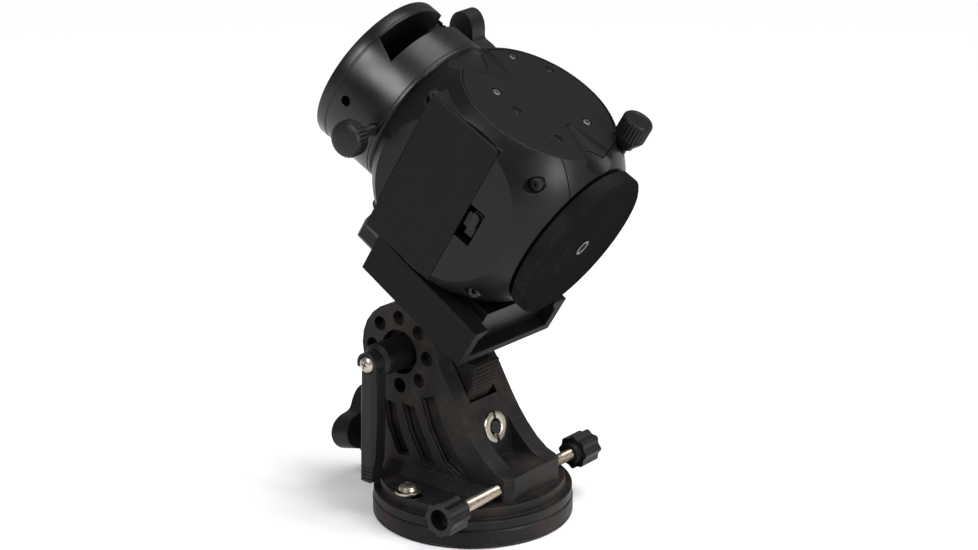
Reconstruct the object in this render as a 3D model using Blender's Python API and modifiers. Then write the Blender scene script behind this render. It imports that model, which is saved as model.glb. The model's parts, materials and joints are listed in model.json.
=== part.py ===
"""Equatorial mount: a two-axis head on a tilting wedge, as separate pieces.

Units are metres with +Z up.  Every length below is written in millimetres and scaled once by MM.
World frame: the foot stands on z = 0, -Y is the front (azimuth block), -X is the battery and lever side.
Tilt frame: origin on the latitude pivot, x along +X, y up the channel, z along the polar axis.
Head frame: origin at the middle of the round head, y along the declination axis, z along the polar axis.
"""
import math

import bmesh
import bpy
from mathutils import Matrix, Vector

MM = 0.001
PRODUCT = "equatorial_mount"

# --- driving dimensions, millimetres ---------------------------------------------------------
OX, OY = 6.863, 1.272            # shift that puts the middle of the whole object on the origin
FOOT_R, FOOT_H = 50.0, 9.1
FLANGE_R, FLANGE_TOP = 46.0, 18.9
CHEEK_X, SLOT_X = 20.8, 10.5
PIVOT_Y, PIVOT_Z = 29.3, 81.4
EAR_R, EAR_HOLE_CIRCLE, EAR_HOLE_R = 24.2, 17.3, 3.0
BLOCK_X, BLOCK_Y, BLOCK_Z = 17.5, -40.0, 31.3
AZ_Y, AZ_Z = -31.4, 23.8
AZ_KNOB_NEAR, AZ_KNOB_FAR = -63.5, 54.0
WORM_Y, WORM_Z, WORM_SLOPE = -14.1, 46.2, 13.07
GEAR_R, GEAR_TEETH = 39.4, 105
TILT = 32.04                 # channel above the horizontal at rest
CHAN_X, CHAN_D0, CHAN_D1, CHAN_R0, CHAN_R1 = 35.1, -37.3, 32.7, 32.5, 53.4
HEAD_D, HEAD_R, HEAD_TURN = 10.4, 102.5, 5.23
BODY_R, WALL = 59.6, 3.2
FLAT_X, FLAT_Z, FLAT_Y0, FLAT_Y1 = 45.7, 44.5, -44.5, 44.2
SEAM_X = -24.0
DOOR_Y0, DOOR_Y1, DOOR_Z = -12.4, 28.4, 39.2
RING_R, RING_Y0, RING_Y1 = 39.8, 44.6, 82.1
DISC_R, DISC_Y0, DISC_Y1 = 39.7, -54.1, -45.3
POST_Y, POST_Z = 31.5, 33.3
GAP = 0.3

# --- scene reset -----------------------------------------------------------------------------
for old in list(bpy.data.objects):
    bpy.data.objects.remove(old, do_unlink=True)
for old in list(bpy.data.collections):
    bpy.data.collections.remove(old)
parts = bpy.data.collections.new(PRODUCT)
cutters = bpy.data.collections.new(PRODUCT + "_cutters")
bpy.context.scene.collection.children.link(parts)
bpy.context.scene.collection.children.link(cutters)


def material(name, colour, roughness, metallic=0.0):
    mat = bpy.data.materials.new(name)
    mat.use_nodes = True
    shader = mat.node_tree.nodes["Principled BSDF"]
    shader.inputs["Base Color"].default_value = (*colour, 1.0)
    shader.inputs["Roughness"].default_value = roughness
    shader.inputs["Metallic"].default_value = metallic
    return mat


FINISH = {
    "paint": ((0.018, 0.018, 0.021), 0.42, 0.0),
    "satin": ((0.012, 0.012, 0.013), 0.32, 0.0),
    "plastic": ((0.015, 0.015, 0.016), 0.5, 0.0),
    "cover": ((0.024, 0.024, 0.025), 0.62, 0.0),
    "steel": ((0.62, 0.58, 0.53), 0.28, 1.0),
    "dark_steel": ((0.10, 0.10, 0.10), 0.4, 1.0),
    "brass": ((0.72, 0.52, 0.25), 0.3, 1.0),
    "board": ((0.02, 0.12, 0.05), 0.5, 0.0),
}


# --- frames ----------------------------------------------------------------------------------
def shift(x, y, z):
    return Matrix.Translation(Vector((x, y, z)) * MM)


WORLD = shift(OX, OY, 0)
TILT_AT = WORLD @ shift(0, PIVOT_Y, PIVOT_Z) @ Matrix.Rotation(math.radians(TILT), 4, "X")
HEAD_AT = TILT_AT @ shift(0, HEAD_D, HEAD_R) @ Matrix.Rotation(math.radians(HEAD_TURN), 4, "Z")
ALONG_X = Matrix.Rotation(math.radians(90), 4, "Y")            # local z -> +X
ALONG_Y = Matrix.Rotation(math.radians(-90), 4, "X")           # local z -> +Y
WORM_AT = WORLD @ shift(0, WORM_Y, WORM_Z) @ Matrix.Rotation(math.radians(-90 - WORM_SLOPE), 4, "X")


def holder(name, at):
    empty = bpy.data.objects.new(name, None)
    empty.empty_display_size = 0.02
    empty.matrix_world = at
    parts.objects.link(empty)
    return empty


# --- modelling helpers -----------------------------------------------------------------------
def finish(obj, finish_name, at, parent=None, smooth=35):
    obj.data.materials.clear()
    obj.data.materials.append(material(obj.name + "_mat", *FINISH[finish_name]))
    obj.data.shade_smooth()
    obj.data.set_sharp_from_angle(angle=math.radians(smooth))
    if parent is not None:
        obj.parent = parent
        obj.matrix_parent_inverse = parent.matrix_world.inverted()
    obj.matrix_world = at
    return obj


def link(name, mesh, cutter=False):
    obj = bpy.data.objects.new(name, mesh)
    (cutters if cutter else parts).objects.link(obj)
    if cutter:
        obj.hide_render = True
        obj.display_type = "WIRE"
    return obj


def box(bm, lo, hi, at=Matrix()):
    lo, hi = Vector(lo) * MM, Vector(hi) * MM
    size = hi - lo
    made = bmesh.ops.create_cube(bm, size=1.0)
    bmesh.ops.transform(bm, matrix=at @ Matrix.Translation((lo + hi) / 2) @ Matrix.Diagonal((*size, 1)), verts=made["verts"])


def rod(bm, r, z0, z1, at=Matrix(), r1=None, segs=24, turn=0.0):
    """A cylinder or cone along the local z of at, from z0 to z1."""
    m = at @ shift(0, 0, (z0 + z1) / 2) @ Matrix.Rotation(turn, 4, "Z")
    bmesh.ops.create_cone(bm, cap_ends=True, segments=segs, radius1=r * MM, radius2=(r if r1 is None else r1) * MM,
                          depth=(z1 - z0) * MM, matrix=m)


def mesh_from(name, bm):
    mesh = bpy.data.meshes.new(name)
    bm.normal_update()
    bm.to_mesh(mesh)
    bm.free()
    return mesh


def outline(name, points, z0, z1, at=Matrix()):
    """A flat outline extruded from z0 to z1, as a mesh in the frame of at."""
    curve = bpy.data.curves.new(name + "_outline", "CURVE")
    curve.dimensions = "2D"
    curve.fill_mode = "BOTH"
    curve.extrude = (z1 - z0) / 2 * MM
    spline = curve.splines.new("POLY")
    spline.points.add(len(points) - 1)
    for p, (u, v) in zip(spline.points, points):
        p.co = (u * MM, v * MM, 0, 1)
    spline.use_cyclic_u = True
    temp = bpy.data.objects.new(name + "_outline", curve)
    bpy.context.scene.collection.objects.link(temp)
    bpy.context.view_layer.update()
    mesh = bpy.data.meshes.new_from_object(temp.evaluated_get(bpy.context.evaluated_depsgraph_get()))
    bpy.data.objects.remove(temp, do_unlink=True)
    bm = bmesh.new()
    bm.from_mesh(mesh)
    bmesh.ops.remove_doubles(bm, verts=bm.verts, dist=1e-6)
    bmesh.ops.recalc_face_normals(bm, faces=bm.faces)
    bmesh.ops.transform(bm, matrix=at @ shift(0, 0, (z0 + z1) / 2), verts=bm.verts)
    bm.to_mesh(mesh)
    bm.free()
    mesh.name = name
    return mesh


def merge(mesh, bm):
    bm.from_mesh(mesh)
    bpy.data.meshes.remove(mesh)


def turned(name, profile, segs=32, closed=False):
    """A Screw of a profile of (radius, height), which runs down its outer side."""
    mesh = bpy.data.meshes.new(name)
    verts = [(r * MM, 0, z * MM) for r, z in profile]
    edges = [(i, i + 1) for i in range(len(verts) - 1)] + ([(len(verts) - 1, 0)] if closed else [])
    mesh.from_pydata(verts, edges, [])
    obj = link(name, mesh)
    screw = obj.modifiers.new("turn", "SCREW")
    screw.axis = "Z"
    screw.angle = math.radians(360)
    screw.steps = screw.render_steps = segs
    screw.use_merge_vertices = True
    screw.merge_threshold = 0.00001
    screw.use_smooth_shade = True
    return obj


def boolean(obj, name, bm, operation="DIFFERENCE", self_cut=False, solver="EXACT"):
    """Cuts, joins or keeps the overlap with another mesh, given in the object's own frame."""
    tool = link(obj.name + "_" + name, mesh_from(obj.name + "_" + name, bm), cutter=True)
    tool.parent = obj
    mod = obj.modifiers.new(name, "BOOLEAN")
    mod.operation = operation
    mod.object = tool
    mod.solver = solver
    mod.use_self = self_cut
    return mod


def arc(cx, cy, r, a0, a1, n):
    return [(cx + r * math.cos(math.radians(a0 + (a1 - a0) * i / n)), cy + r * math.sin(math.radians(a0 + (a1 - a0) * i / n)))
            for i in range(n + 1)]


def lobes(count, r_mid, depth, n, phase=0.0, power=1.0):
    out = []
    for i in range(n):
        a = 2 * math.pi * i / n
        c = math.cos(count * (a - math.radians(phase)))
        out.append(((r_mid + depth * c) * math.cos(a), (r_mid + depth * c) * math.sin(a)))
    return out


def gear_outline(teeth, tip, root, a0=0.0, a1=360.0):
    """Tooth by tooth points from a0 to a1 degrees on a wheel of that many teeth a turn."""
    pitch = 360.0 / teeth
    out, a = [], a0
    while a < a1 - pitch * 0.5:
        for f, r in ((0.0, root), (0.5, tip)):
            t = math.radians(a + f * pitch)
            out.append((r * math.cos(t), r * math.sin(t)))
        a += pitch
    return out


# --- foot ------------------------------------------------------------------------------------
root = holder("foot_origin", WORLD)
foot = turned("foot_disc", [(7.4, FOOT_H), (FOOT_R - 1.2, FOOT_H), (FOOT_R, FOOT_H - 1.2), (FOOT_R, 0.8), (FOOT_R - 0.8, 0),
                            (7.4, 0)], 40, closed=True)
bm = bmesh.new()
rod(bm, 4.3, 4.0, 12.0, shift(0, AZ_Y, 0), segs=20)
for sx in (-1, 1):
    rod(bm, 2.8, 3.0, 12.0, shift(sx * 39.3, 8.7, 0), segs=16)
boolean(foot, "holes", bm)
finish(foot, "paint", WORLD, root)
insert = turned("tripod_thread_insert", [(4.8, 8.8), (7.0, 8.8), (7.0, 0.5), (4.8, 0.5)], 16, closed=True)
finish(insert, "steel", WORLD, root)
bm = bmesh.new()
rod(bm, 4.0, 4.3, 28.2, shift(0, AZ_Y, 0), segs=20)
finish(link("azimuth_peg", mesh_from("azimuth_peg", bm)), "steel", WORLD, root)
for side, sx in (("near", -1), ("far", 1)):
    at = WORLD @ shift(sx * 39.3, 8.7, 0)
    screw = turned("azimuth_lock_screw_" + side, [(0, 23.6), (2.2, 23.4), (4.0, 22.2), (4.7, 20.5), (2.4, 20.5), (2.4, 3.4), (0, 3.4)], 12)
    bm = bmesh.new()
    rod(bm, 1.5, 21.6, 25.0, segs=6)
    boolean(screw, "socket", bm)
    finish(screw, "steel", at, root)
    washer = turned("azimuth_lock_washer_" + side, [(2.75, 20.2), (6.6, 20.2), (6.6, 19.2), (2.75, 19.2)], 16, closed=True)
    finish(washer, "steel", at, root)

# --- bracket casting -------------------------------------------------------------------------
bracket = holder("azimuth_axis", WORLD)
YZ = Matrix(((0, 0, 1, 0), (1, 0, 0, 0), (0, 1, 0, 0), (0, 0, 0, 1)))     # outline (u, v) -> (y, z), extrusion along x
ear = [(PIVOT_Y + EAR_R * math.cos(math.radians(a)), PIVOT_Z + EAR_R * math.sin(math.radians(a))) for a in range(180, -6, -15)]
side_line = ([(-36.0, FLANGE_TOP - 1), (-36.0, 31.0), (-30.5, 33.0), (-24.3, 37.6), (-18.2, 43.9), (-13.0, 50.6), (-8.2, 58.1), (-4.2, 65.0),
              (-0.7, 71.1), (3.2, 77.0)] + ear + [(51.5, 66.0), (48.0, 52.0), (45.0, 36.0), (41.0, FLANGE_TOP - 1)])
casting = link("bracket_casting", outline("bracket_casting", side_line, -CHEEK_X, CHEEK_X, YZ))
bm = bmesh.new()
rod(bm, FLANGE_R, FOOT_H + GAP, FLANGE_TOP, segs=40)
boolean(casting, "flange", bm, "UNION")
bm = bmesh.new()
rod(bm, FOOT_R - 0.5, FOOT_H + GAP, 13.6, segs=44)
boolean(casting, "base_rim", bm, "UNION")
bm = bmesh.new()
box(bm, (-BLOCK_X, BLOCK_Y, FLANGE_TOP - 2), (BLOCK_X, -20.0, BLOCK_Z))
boolean(casting, "block", bm, "UNION")
bm = bmesh.new()
merge(outline("plinth", [(-27.0, FLANGE_TOP - 1), (27.0, FLANGE_TOP - 1), (19.0, FLANGE_TOP + 7), (-19.0, FLANGE_TOP + 7)], -38.0, 30.0,
              Matrix(((1, 0, 0, 0), (0, 0, -1, 0), (0, 1, 0, 0), (0, 0, 0, 1)))), bm)
boolean(casting, "plinth", bm, "UNION")
bm = bmesh.new()
rod(bm, 42.2, -SLOT_X, SLOT_X, shift(0, PIVOT_Y, PIVOT_Z) @ ALONG_X, segs=36)
boolean(casting, "gear_slot", bm)
bm = bmesh.new()
merge(outline("front_slot", [(-50, BLOCK_Z + 0.2), (-17.6, BLOCK_Z + 0.2), (-12.2, 54.3), (-12.2, 112.0), (-50, 112.0)], -SLOT_X, SLOT_X, YZ), bm)
boolean(casting, "front_slot", bm)
bm = bmesh.new()
rod(bm, 7.0, -12.0, 80.0, WORLD.inverted() @ WORM_AT, segs=20)
boolean(casting, "worm_bore", bm)
bm = bmesh.new()
rod(bm, 7.1, -40, 40, shift(0, PIVOT_Y, PIVOT_Z) @ ALONG_X, segs=20)
boolean(casting, "pivot_bore", bm)
bm = bmesh.new()
for sx in (-1, 1):
    x0, x1 = sorted((sx * (CHEEK_X - 5.5), sx * (CHEEK_X + 3)))
    rod(bm, 11.2, x0, x1, shift(0, PIVOT_Y, PIVOT_Z) @ ALONG_X, segs=20)
    for k in range(8) if sx < 0 else ():
        a = math.radians(45 * k)
        rod(bm, EAR_HOLE_R, x0, x1, shift(0, PIVOT_Y + EAR_HOLE_CIRCLE * math.cos(a), PIVOT_Z + EAR_HOLE_CIRCLE * math.sin(a)) @ ALONG_X, segs=8)
boolean(casting, "ear_holes", bm)
bm = bmesh.new()
box(bm, (-9.5, AZ_Y - 4.9, FOOT_H - 1), (9.5, AZ_Y + 4.9, 29.0))
box(bm, (-14, -12, FOOT_H - 1), (14, 34, 21.5))
for sx in (-1, 1):
    a = math.atan2(8.7, sx * 39.3)
    box(bm, (-3.6, -9.0, FOOT_H - 1), (3.6, 9.0, FLANGE_TOP + 2), shift(sx * 39.3, 8.7, 0) @ Matrix.Rotation(a, 4, "Z"))
boolean(casting, "underside", bm)
bm = bmesh.new()
rod(bm, 3.3, -40, 40, shift(0, AZ_Y, AZ_Z) @ ALONG_X, segs=14)
rod(bm, 9.4, 32.0, 60, shift(0, AZ_Y, AZ_Z) @ ALONG_X, segs=20)
boolean(casting, "screw_bore", bm, self_cut=True)
bm = bmesh.new()
for sx in (-1, 1):
    x0, x1 = sorted((sx * (CHEEK_X - 4.0), sx * (CHEEK_X + 4)))
    for base in (((8.5, 61.5), (13.5, 59.5), (9.0, 46.0), (0.0, 31.0), (-8.0, 26.8), (-13.5, 27.0), (-3.5, 37.5), (4.0, 50.0)),
                 ((21.0, 53.0), (25.5, 53.0), (22.0, 42.0), (14.5, 28.5), (8.5, 28.0), (15.5, 40.0)),
                 ((33.5, 52.0), (37.5, 52.5), (36.0, 42.0), (30.0, 29.5), (25.5, 29.5), (31.0, 40.0))):
        merge(outline("rib_groove", base, x0, x1, YZ), bm)
boolean(casting, "rib_grooves", bm)
finish(casting, "paint", WORLD, bracket)

# worm and its bushes
nut = turned("worm_front_nut", [(3.5, 7.0), (6.6, 7.0), (6.6, -0.4), (5.8, -1.0), (4.2, -1.0), (3.5, -0.4)], 18, closed=True)
bm = bmesh.new()
box(bm, (-1.1, -8, -3), (1.1, 8, 1.4))
boolean(nut, "spanner_slot", bm)
finish(nut, "steel", WORM_AT, bracket)
rear = turned("worm_rear_bush", [(3.5, 61.0), (6.6, 61.0), (6.6, 52.0), (3.5, 52.0)], 16, closed=True)
finish(rear, "brass", WORM_AT, bracket)
worm_axis = holder("worm_axis", WORM_AT)
profile = [(0, 86.0), (2.2, 86.0), (2.2, 70.0), (3.1, 70.0), (3.1, 45.5)]
for k in range(9):
    z = 45.0 - 2.36 * k
    profile += [(4.4, z - 0.8), (3.2, z - 1.9)]
profile += [(3.1, 22.5), (3.1, -0.6), (0, -0.6)]
worm = turned("worm_shaft", profile, 10)
finish(worm, "dark_steel", WORM_AT, worm_axis)
knob_mesh = bpy.data.meshes.new("latitude_knob")
bm = bmesh.new()
merge(outline("lobe_outline", lobes(3, 16.8, 5.0, 36, 180), 80.6, 91.8), bm)
bm.to_mesh(knob_mesh)
bm.free()
knob = link("latitude_knob", knob_mesh)
bm = bmesh.new()
rod(bm, 8.2, 71.0, 84.0, segs=16)
boolean(knob, "neck", bm, "UNION")
bm = bmesh.new()
rod(bm, 2.5, 60.0, 86.4, segs=14)
boolean(knob, "bore", bm)
finish(knob, "plastic", WORM_AT, worm_axis)

# pivot bolt and lock lever
at = WORLD @ shift(0, PIVOT_Y, PIVOT_Z) @ ALONG_X
bolt = turned("pivot_bolt", [(0, 25.0), (8.4, 25.0), (9.2, 24.2), (9.2, 15.6), (6.2, 15.6), (6.2, -29.0), (5.4, -30.0), (0, -30.0)], 20)
finish(bolt, "dark_steel", at, bracket)
lever_axis = holder("lever_axis", at)
lever = turned("lock_lever", [(6.5, -15.6), (8.3, -15.6), (8.3, -37.0), (6.0, -38.0), (6.0, -44.9), (4.7, -44.9), (4.7, -43.6), (2.3, -43.6),
                              (2.3, -31.0), (6.5, -31.0)], 20, closed=True)
bm = bmesh.new()
lean = Matrix.Rotation(math.radians(2.0), 4, "Z")
box(bm, (7.0, -4.8, -44.6), (61.6, 4.8, -36.2), lean)
boolean(lever, "arm", bm, "UNION")
finish(lever, "plastic", at, lever_axis)
screw = turned("lever_screw", [(0, -33.0), (2.0, -33.0), (2.0, -43.9), (4.3, -43.9), (4.3, -44.8), (3.2, -46.2), (0, -46.6)], 14)
finish(screw, "steel", at, lever_axis)

# azimuth screws
for side, sx in (("near", -1), ("far", 1)):
    at = WORLD @ shift(0, AZ_Y, AZ_Z) @ (ALONG_X if sx > 0 else Matrix.Rotation(math.radians(-90), 4, "Y"))
    end = 63.5 if sx < 0 else 54.0
    slide = holder("azimuth_screw_axis_" + side, at)
    rod_piece = turned("azimuth_screw_" + side, [(0, end - 8.5), (2.9, end - 8.5), (2.9, 6.0), (2.3, 4.7), (0, 4.7)], 12)
    finish(rod_piece, "steel", at, slide)
    spin = holder("azimuth_knob_axis_" + side, at)
    spin.parent = slide
    spin.matrix_parent_inverse = slide.matrix_world.inverted()
    knob = link("azimuth_knob_" + side, outline("azimuth_knob_" + side, lobes(8, 8.0, 0.6, 32), end - 13.0, end))
    bm = bmesh.new()
    rod(bm, 5.4, end - 16.0, end - 12.0, segs=14)
    boolean(knob, "collar", bm, "UNION")
    bm = bmesh.new()
    rod(bm, 3.2, end - 17.0, end - 8.0, segs=12)
    rod(bm, 5.2, end - 6.5, end + 2, segs=14)
    boolean(knob, "bores", bm)
    finish(knob, "plastic", at, spin)

# --- tilting channel -------------------------------------------------------------------------
tilt = holder("latitude_axis", TILT_AT)
DR = Matrix(((0, 0, 1, 0), (1, 0, 0, 0), (0, 1, 0, 0), (0, 0, 0, 1)))       # outline (d, r), extrusion along x
start, span = 180.0 + 3.0 - TILT, 122.0
teeth = gear_outline(GEAR_TEETH, GEAR_R, GEAR_R - 1.7, start, start + span)
gear = link("latitude_gear", outline("latitude_gear", teeth + arc(0, 0, 12.0, start + span, start + 10, 8), -8.9, 8.9, DR))
bm = bmesh.new()
merge(outline("neck", [(-15.3, 3.1), (13.7, 3.3), (18, 29), (25, 29), (25, 32.2), (-27, 32.2), (-27, 29), (-19, 26)], -8.4, 8.4, DR), bm)
boolean(gear, "neck", bm, "UNION", solver="MANIFOLD")
bm = bmesh.new()
rod(bm, 13.2, -9.6, 9.6, ALONG_X, segs=22)
boolean(gear, "hub", bm, "UNION", solver="MANIFOLD")
bm = bmesh.new()
rod(bm, 6.5, -20, 20, ALONG_X, segs=18)
for d in (-16, 15):
    rod(bm, 2.6, 22.0, 40.0, shift(0, d, 0), segs=10)
boolean(gear, "bores", bm, solver="MANIFOLD")
finish(gear, "paint", TILT_AT, tilt)

bm = bmesh.new()
box(bm, (-CHAN_X, CHAN_D0, CHAN_R0), (CHAN_X, CHAN_D1, CHAN_R1))
channel = link("clamp_channel", mesh_from("clamp_channel", bm))
XR = Matrix(((1, 0, 0, 0), (0, 0, -1, 0), (0, 1, 0, 0), (0, 0, 0, 1)))      # outline (x, r), extrusion along -d
bm = bmesh.new()
merge(outline("groove", [(-30.0, 36.7), (30.0, 36.7), (30.0, 47.4), (26.0, 51.6), (26.0, 60), (-26.0, 60), (-26.0, 51.6), (-30.0, 47.4)],
              -50, 50, XR), bm)
boolean(channel, "groove", bm)
bm = bmesh.new()
for d in (-16, 15):
    rod(bm, 2.6, 28, 35, shift(0, d, 0), segs=10)
    rod(bm, 4.9, 33.8, 38, shift(0, d, 0), segs=14)
rod(bm, 2.9, 25, 40, shift(0, -3, 43) @ ALONG_X, segs=12)
boolean(channel, "bores", bm, self_cut=True)
finish(channel, "satin", TILT_AT, tilt)
for k, d in enumerate((-16, 15)):
    s = turned("channel_bolt_%d" % (k + 1), [(0, 36.4), (4.5, 36.4), (4.5, 34.2), (2.3, 34.2), (2.3, 22.6), (0, 22.6)], 10)
    bm = bmesh.new()
    rod(bm, 1.7, 34.9, 38, segs=6)
    boolean(s, "socket", bm)
    finish(s, "dark_steel", TILT_AT @ shift(0, d, 0), tilt)
at = TILT_AT @ shift(0, -3, 43) @ ALONG_X
clamp_axis = holder("clamp_axis", at)
ck = link("channel_clamp_knob", outline("channel_clamp_knob", lobes(8, 8.6, 0.7, 32), 38.0, 50.0))
bm = bmesh.new()
rod(bm, 2.5, 30.6, 42.0, segs=10)
boolean(ck, "thread", bm, "UNION")
finish(ck, "plastic", at, clamp_axis)

section = [(-26.6, 37.1), (26.6, 37.1), (29.4, 40.2), (29.4, 47.0), (25.4, 51.3), (22.5, 51.3), (22.5, 56.6), (-22.5, 56.6), (-22.5, 51.3),
           (-25.4, 51.3), (-29.4, 47.0), (-29.4, 40.2)]
plate = link("adapter_plate", outline("adapter_plate", section, -47.5, 31.3, XR))
bm = bmesh.new()
rod(bm, 9.4, 41.0, 60.0, shift(0, HEAD_D, 0), segs=20)
for sx in (-1, 1):
    box(bm, (-8, -8, 30), (8, 8, 60), shift(sx * 34.2, 52.3, 0) @ Matrix.Rotation(math.radians(45), 4, "Z"))
boolean(plate, "bore_and_corners", bm)
finish(plate, "satin", TILT_AT, tilt)
AXLE_AT = TILT_AT @ shift(0, HEAD_D, HEAD_R)
axle = turned("polar_axle", [(5.0, -20.0), (9.0, -20.0), (9.0, -61.0), (5.0, -61.0)], 20, closed=True)
finish(axle, "steel", AXLE_AT, tilt)
wheel = link("polar_worm_wheel", outline("polar_worm_wheel", gear_outline(36, 19.4, 17.6), -39.4, -34.0))
bm = bmesh.new()
rod(bm, 9.3, -50, -30, segs=18)
boolean(wheel, "bore", bm)
finish(wheel, "brass", AXLE_AT, tilt)
ring_nut = turned("polar_axle_nut", [(9.3, -26.0), (13.5, -26.0), (13.5, -31.0), (9.3, -31.0)], 16, closed=True)
finish(ring_nut, "steel", AXLE_AT, tilt)

# --- head body -------------------------------------------------------------------------------
head = holder("polar_axis", HEAD_AT)


def clipped_ball(bm, r, x0, x1, y0, y1, z0, z1, segs, rings):
    """A ball cut flat on six sides."""
    ball = bmesh.new()
    bmesh.ops.create_uvsphere(ball, u_segments=segs, v_segments=rings, radius=r * MM, matrix=Matrix.Rotation(math.radians(90), 4, "X"))
    for co, no in (((x0, 0, 0), (-1, 0, 0)), ((x1, 0, 0), (1, 0, 0)), ((0, y0, 0), (0, -1, 0)), ((0, y1, 0), (0, 1, 0)),
                   ((0, 0, z0), (0, 0, -1)), ((0, 0, z1), (0, 0, 1))):
        bmesh.ops.bisect_plane(ball, geom=ball.verts[:] + ball.edges[:] + ball.faces[:], plane_co=Vector(co) * MM, plane_no=no, clear_outer=True,
                               dist=1e-7)
        loose = [e for e in ball.edges if e.is_boundary]
        if loose:
            bmesh.ops.contextual_create(ball, geom=loose)
    bmesh.ops.recalc_face_normals(ball, faces=ball.faces)
    temp = mesh_from("ball", ball)
    merge(temp, bm)


def cavity(obj, x0, x1):
    bm = bmesh.new()
    clipped_ball(bm, BODY_R - WALL, x0, x1, FLAT_Y0 + 3, FLAT_Y1 - 3, -FLAT_Z + 3, FLAT_Z - 6.5, 24, 12)
    inner = link(obj.name + "_cavity", mesh_from(obj.name + "_cavity", bm), cutter=True)
    bm = bmesh.new()
    for sy in (-1, 1):
        for sz in (-1, 1):
            rod(bm, 5.4, -60, -14, shift(0, sy * POST_Y, sz * POST_Z) @ ALONG_X, segs=10)
    boolean(inner, "posts", bm)
    inner.parent = obj
    mod = obj.modifiers.new("cavity", "BOOLEAN")
    mod.operation, mod.object, mod.solver = "DIFFERENCE", inner, "EXACT"


bm = bmesh.new()
clipped_ball(bm, BODY_R, SEAM_X + 0.15, FLAT_X, FLAT_Y0, FLAT_Y1, -FLAT_Z, FLAT_Z, 36, 18)
shell = link("head_casting", mesh_from("head_casting", bm))
cavity(shell, SEAM_X - 5, FLAT_X - 3)
bm = bmesh.new()
rod(bm, 38.8, 41.0, 50, segs=40)
rod(bm, 14.4, -60, -35, segs=20)
rod(bm, 16.2, -60, -30, ALONG_Y, segs=20)
rod(bm, 16.2, 30, 60, ALONG_Y, segs=20)
for sy in (-1, 1):
    for sz in (-1, 1):
        rod(bm, 1.8, -30, -15.5, shift(0, sy * POST_Y, sz * POST_Z) @ ALONG_X, segs=8)
box(bm, (44.0, -18.3, -28.3), (60, 18.3, -7.7))
box(bm, (43.0, -6.4, 7.6), (60, 6.4, 20.4))
rod(bm, 2.9, 30, 42, shift(25, -37, 0), segs=12)
rod(bm, 8.2, 41.2, 60, shift(25, -37, 0), segs=18)
boolean(shell, "openings", bm, self_cut=True)
bm = bmesh.new()
TOP_SCREWS = ((-16.4, 14.3), (16.7, 29.6), (14.6, -19.3))
for x, y in TOP_SCREWS:
    rod(bm, 1.5, 30, 42, shift(x, y, 0), segs=8)
rod(bm, 6.0, 30, 50, shift(0, 0, 0), segs=12)
boolean(shell, "top_holes", bm)
finish(shell, "satin", HEAD_AT, head)

bm = bmesh.new()
clipped_ball(bm, BODY_R, -FLAT_X, SEAM_X - 0.15, FLAT_Y0, FLAT_Y1, -FLAT_Z, FLAT_Z, 36, 18)
side = link("side_casting", mesh_from("side_casting", bm))
bm = bmesh.new()
box(bm, (-43.6, DOOR_Y0 - 0.3, -DOOR_Z - 0.3), (SEAM_X - 0.15, DOOR_Y1 + 0.3, DOOR_Z + 0.3))
boolean(side, "battery_block", bm, "UNION")
cavity(side, -FLAT_X + 3, SEAM_X + 5)
bm = bmesh.new()
box(bm, (-50, DOOR_Y0 - 0.3, -DOOR_Z - 3), (-43.6, DOOR_Y1 + 0.3, DOOR_Z + 3))
boolean(side, "door_recess", bm)
bm = bmesh.new()
box(bm, (-50, -9.0, -36.4), (-20, 25.0, 36.4))
boolean(side, "battery_opening", bm)
bm = bmesh.new()
rod(bm, 38.8, 41.0, 50, segs=40)
box(bm, (-50, -21.6, -10), (-40, DOOR_Y0 + 1, 9))
for sy in (-1, 1):
    for sz in (-1, 1):
        rod(bm, 1.8, -40, -20, shift(0, sy * POST_Y, sz * POST_Z) @ ALONG_X, segs=8)
        rod(bm, 3.5, -60, -33.6, shift(0, sy * POST_Y, sz * POST_Z) @ ALONG_X, segs=12)
boolean(side, "openings", bm, self_cut=True)
finish(side, "satin", HEAD_AT, head)
k = 0
for sy in (-1, 1):
    for sz in (-1, 1):
        k += 1
        s = turned("side_casting_screw_%d" % k, [(0, -16.5), (1.5, -16.5), (1.5, -33.9), (3.1, -33.9), (3.1, -36.6), (0, -36.6)], 8)
        finish(s, "dark_steel", HEAD_AT @ shift(0, sy * POST_Y, sz * POST_Z) @ ALONG_X, head)

cover = turned("top_cover", [(0, FLAT_Z), (38.0, FLAT_Z), (38.4, 44.1), (38.4, 41.3), (0, 41.3)], 40)
bm = bmesh.new()
for x, y in TOP_SCREWS:
    rod(bm, 2.5, 43.0, 50, shift(x, y, 0), segs=10)
    rod(bm, 1.5, 38, 43.5, shift(x, y, 0), segs=8)
boolean(cover, "holes", bm, self_cut=True)
finish(cover, "cover", HEAD_AT, head)
for k, (x, y) in enumerate(TOP_SCREWS):
    s = turned("top_cover_screw_%d" % (k + 1), [(0, 44.5), (2.2, 44.3), (2.2, 43.3), (1.2, 43.3), (1.2, 36.5), (0, 36.5)], 8)
    finish(s, "steel", HEAD_AT @ shift(x, y, 0), head)

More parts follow.
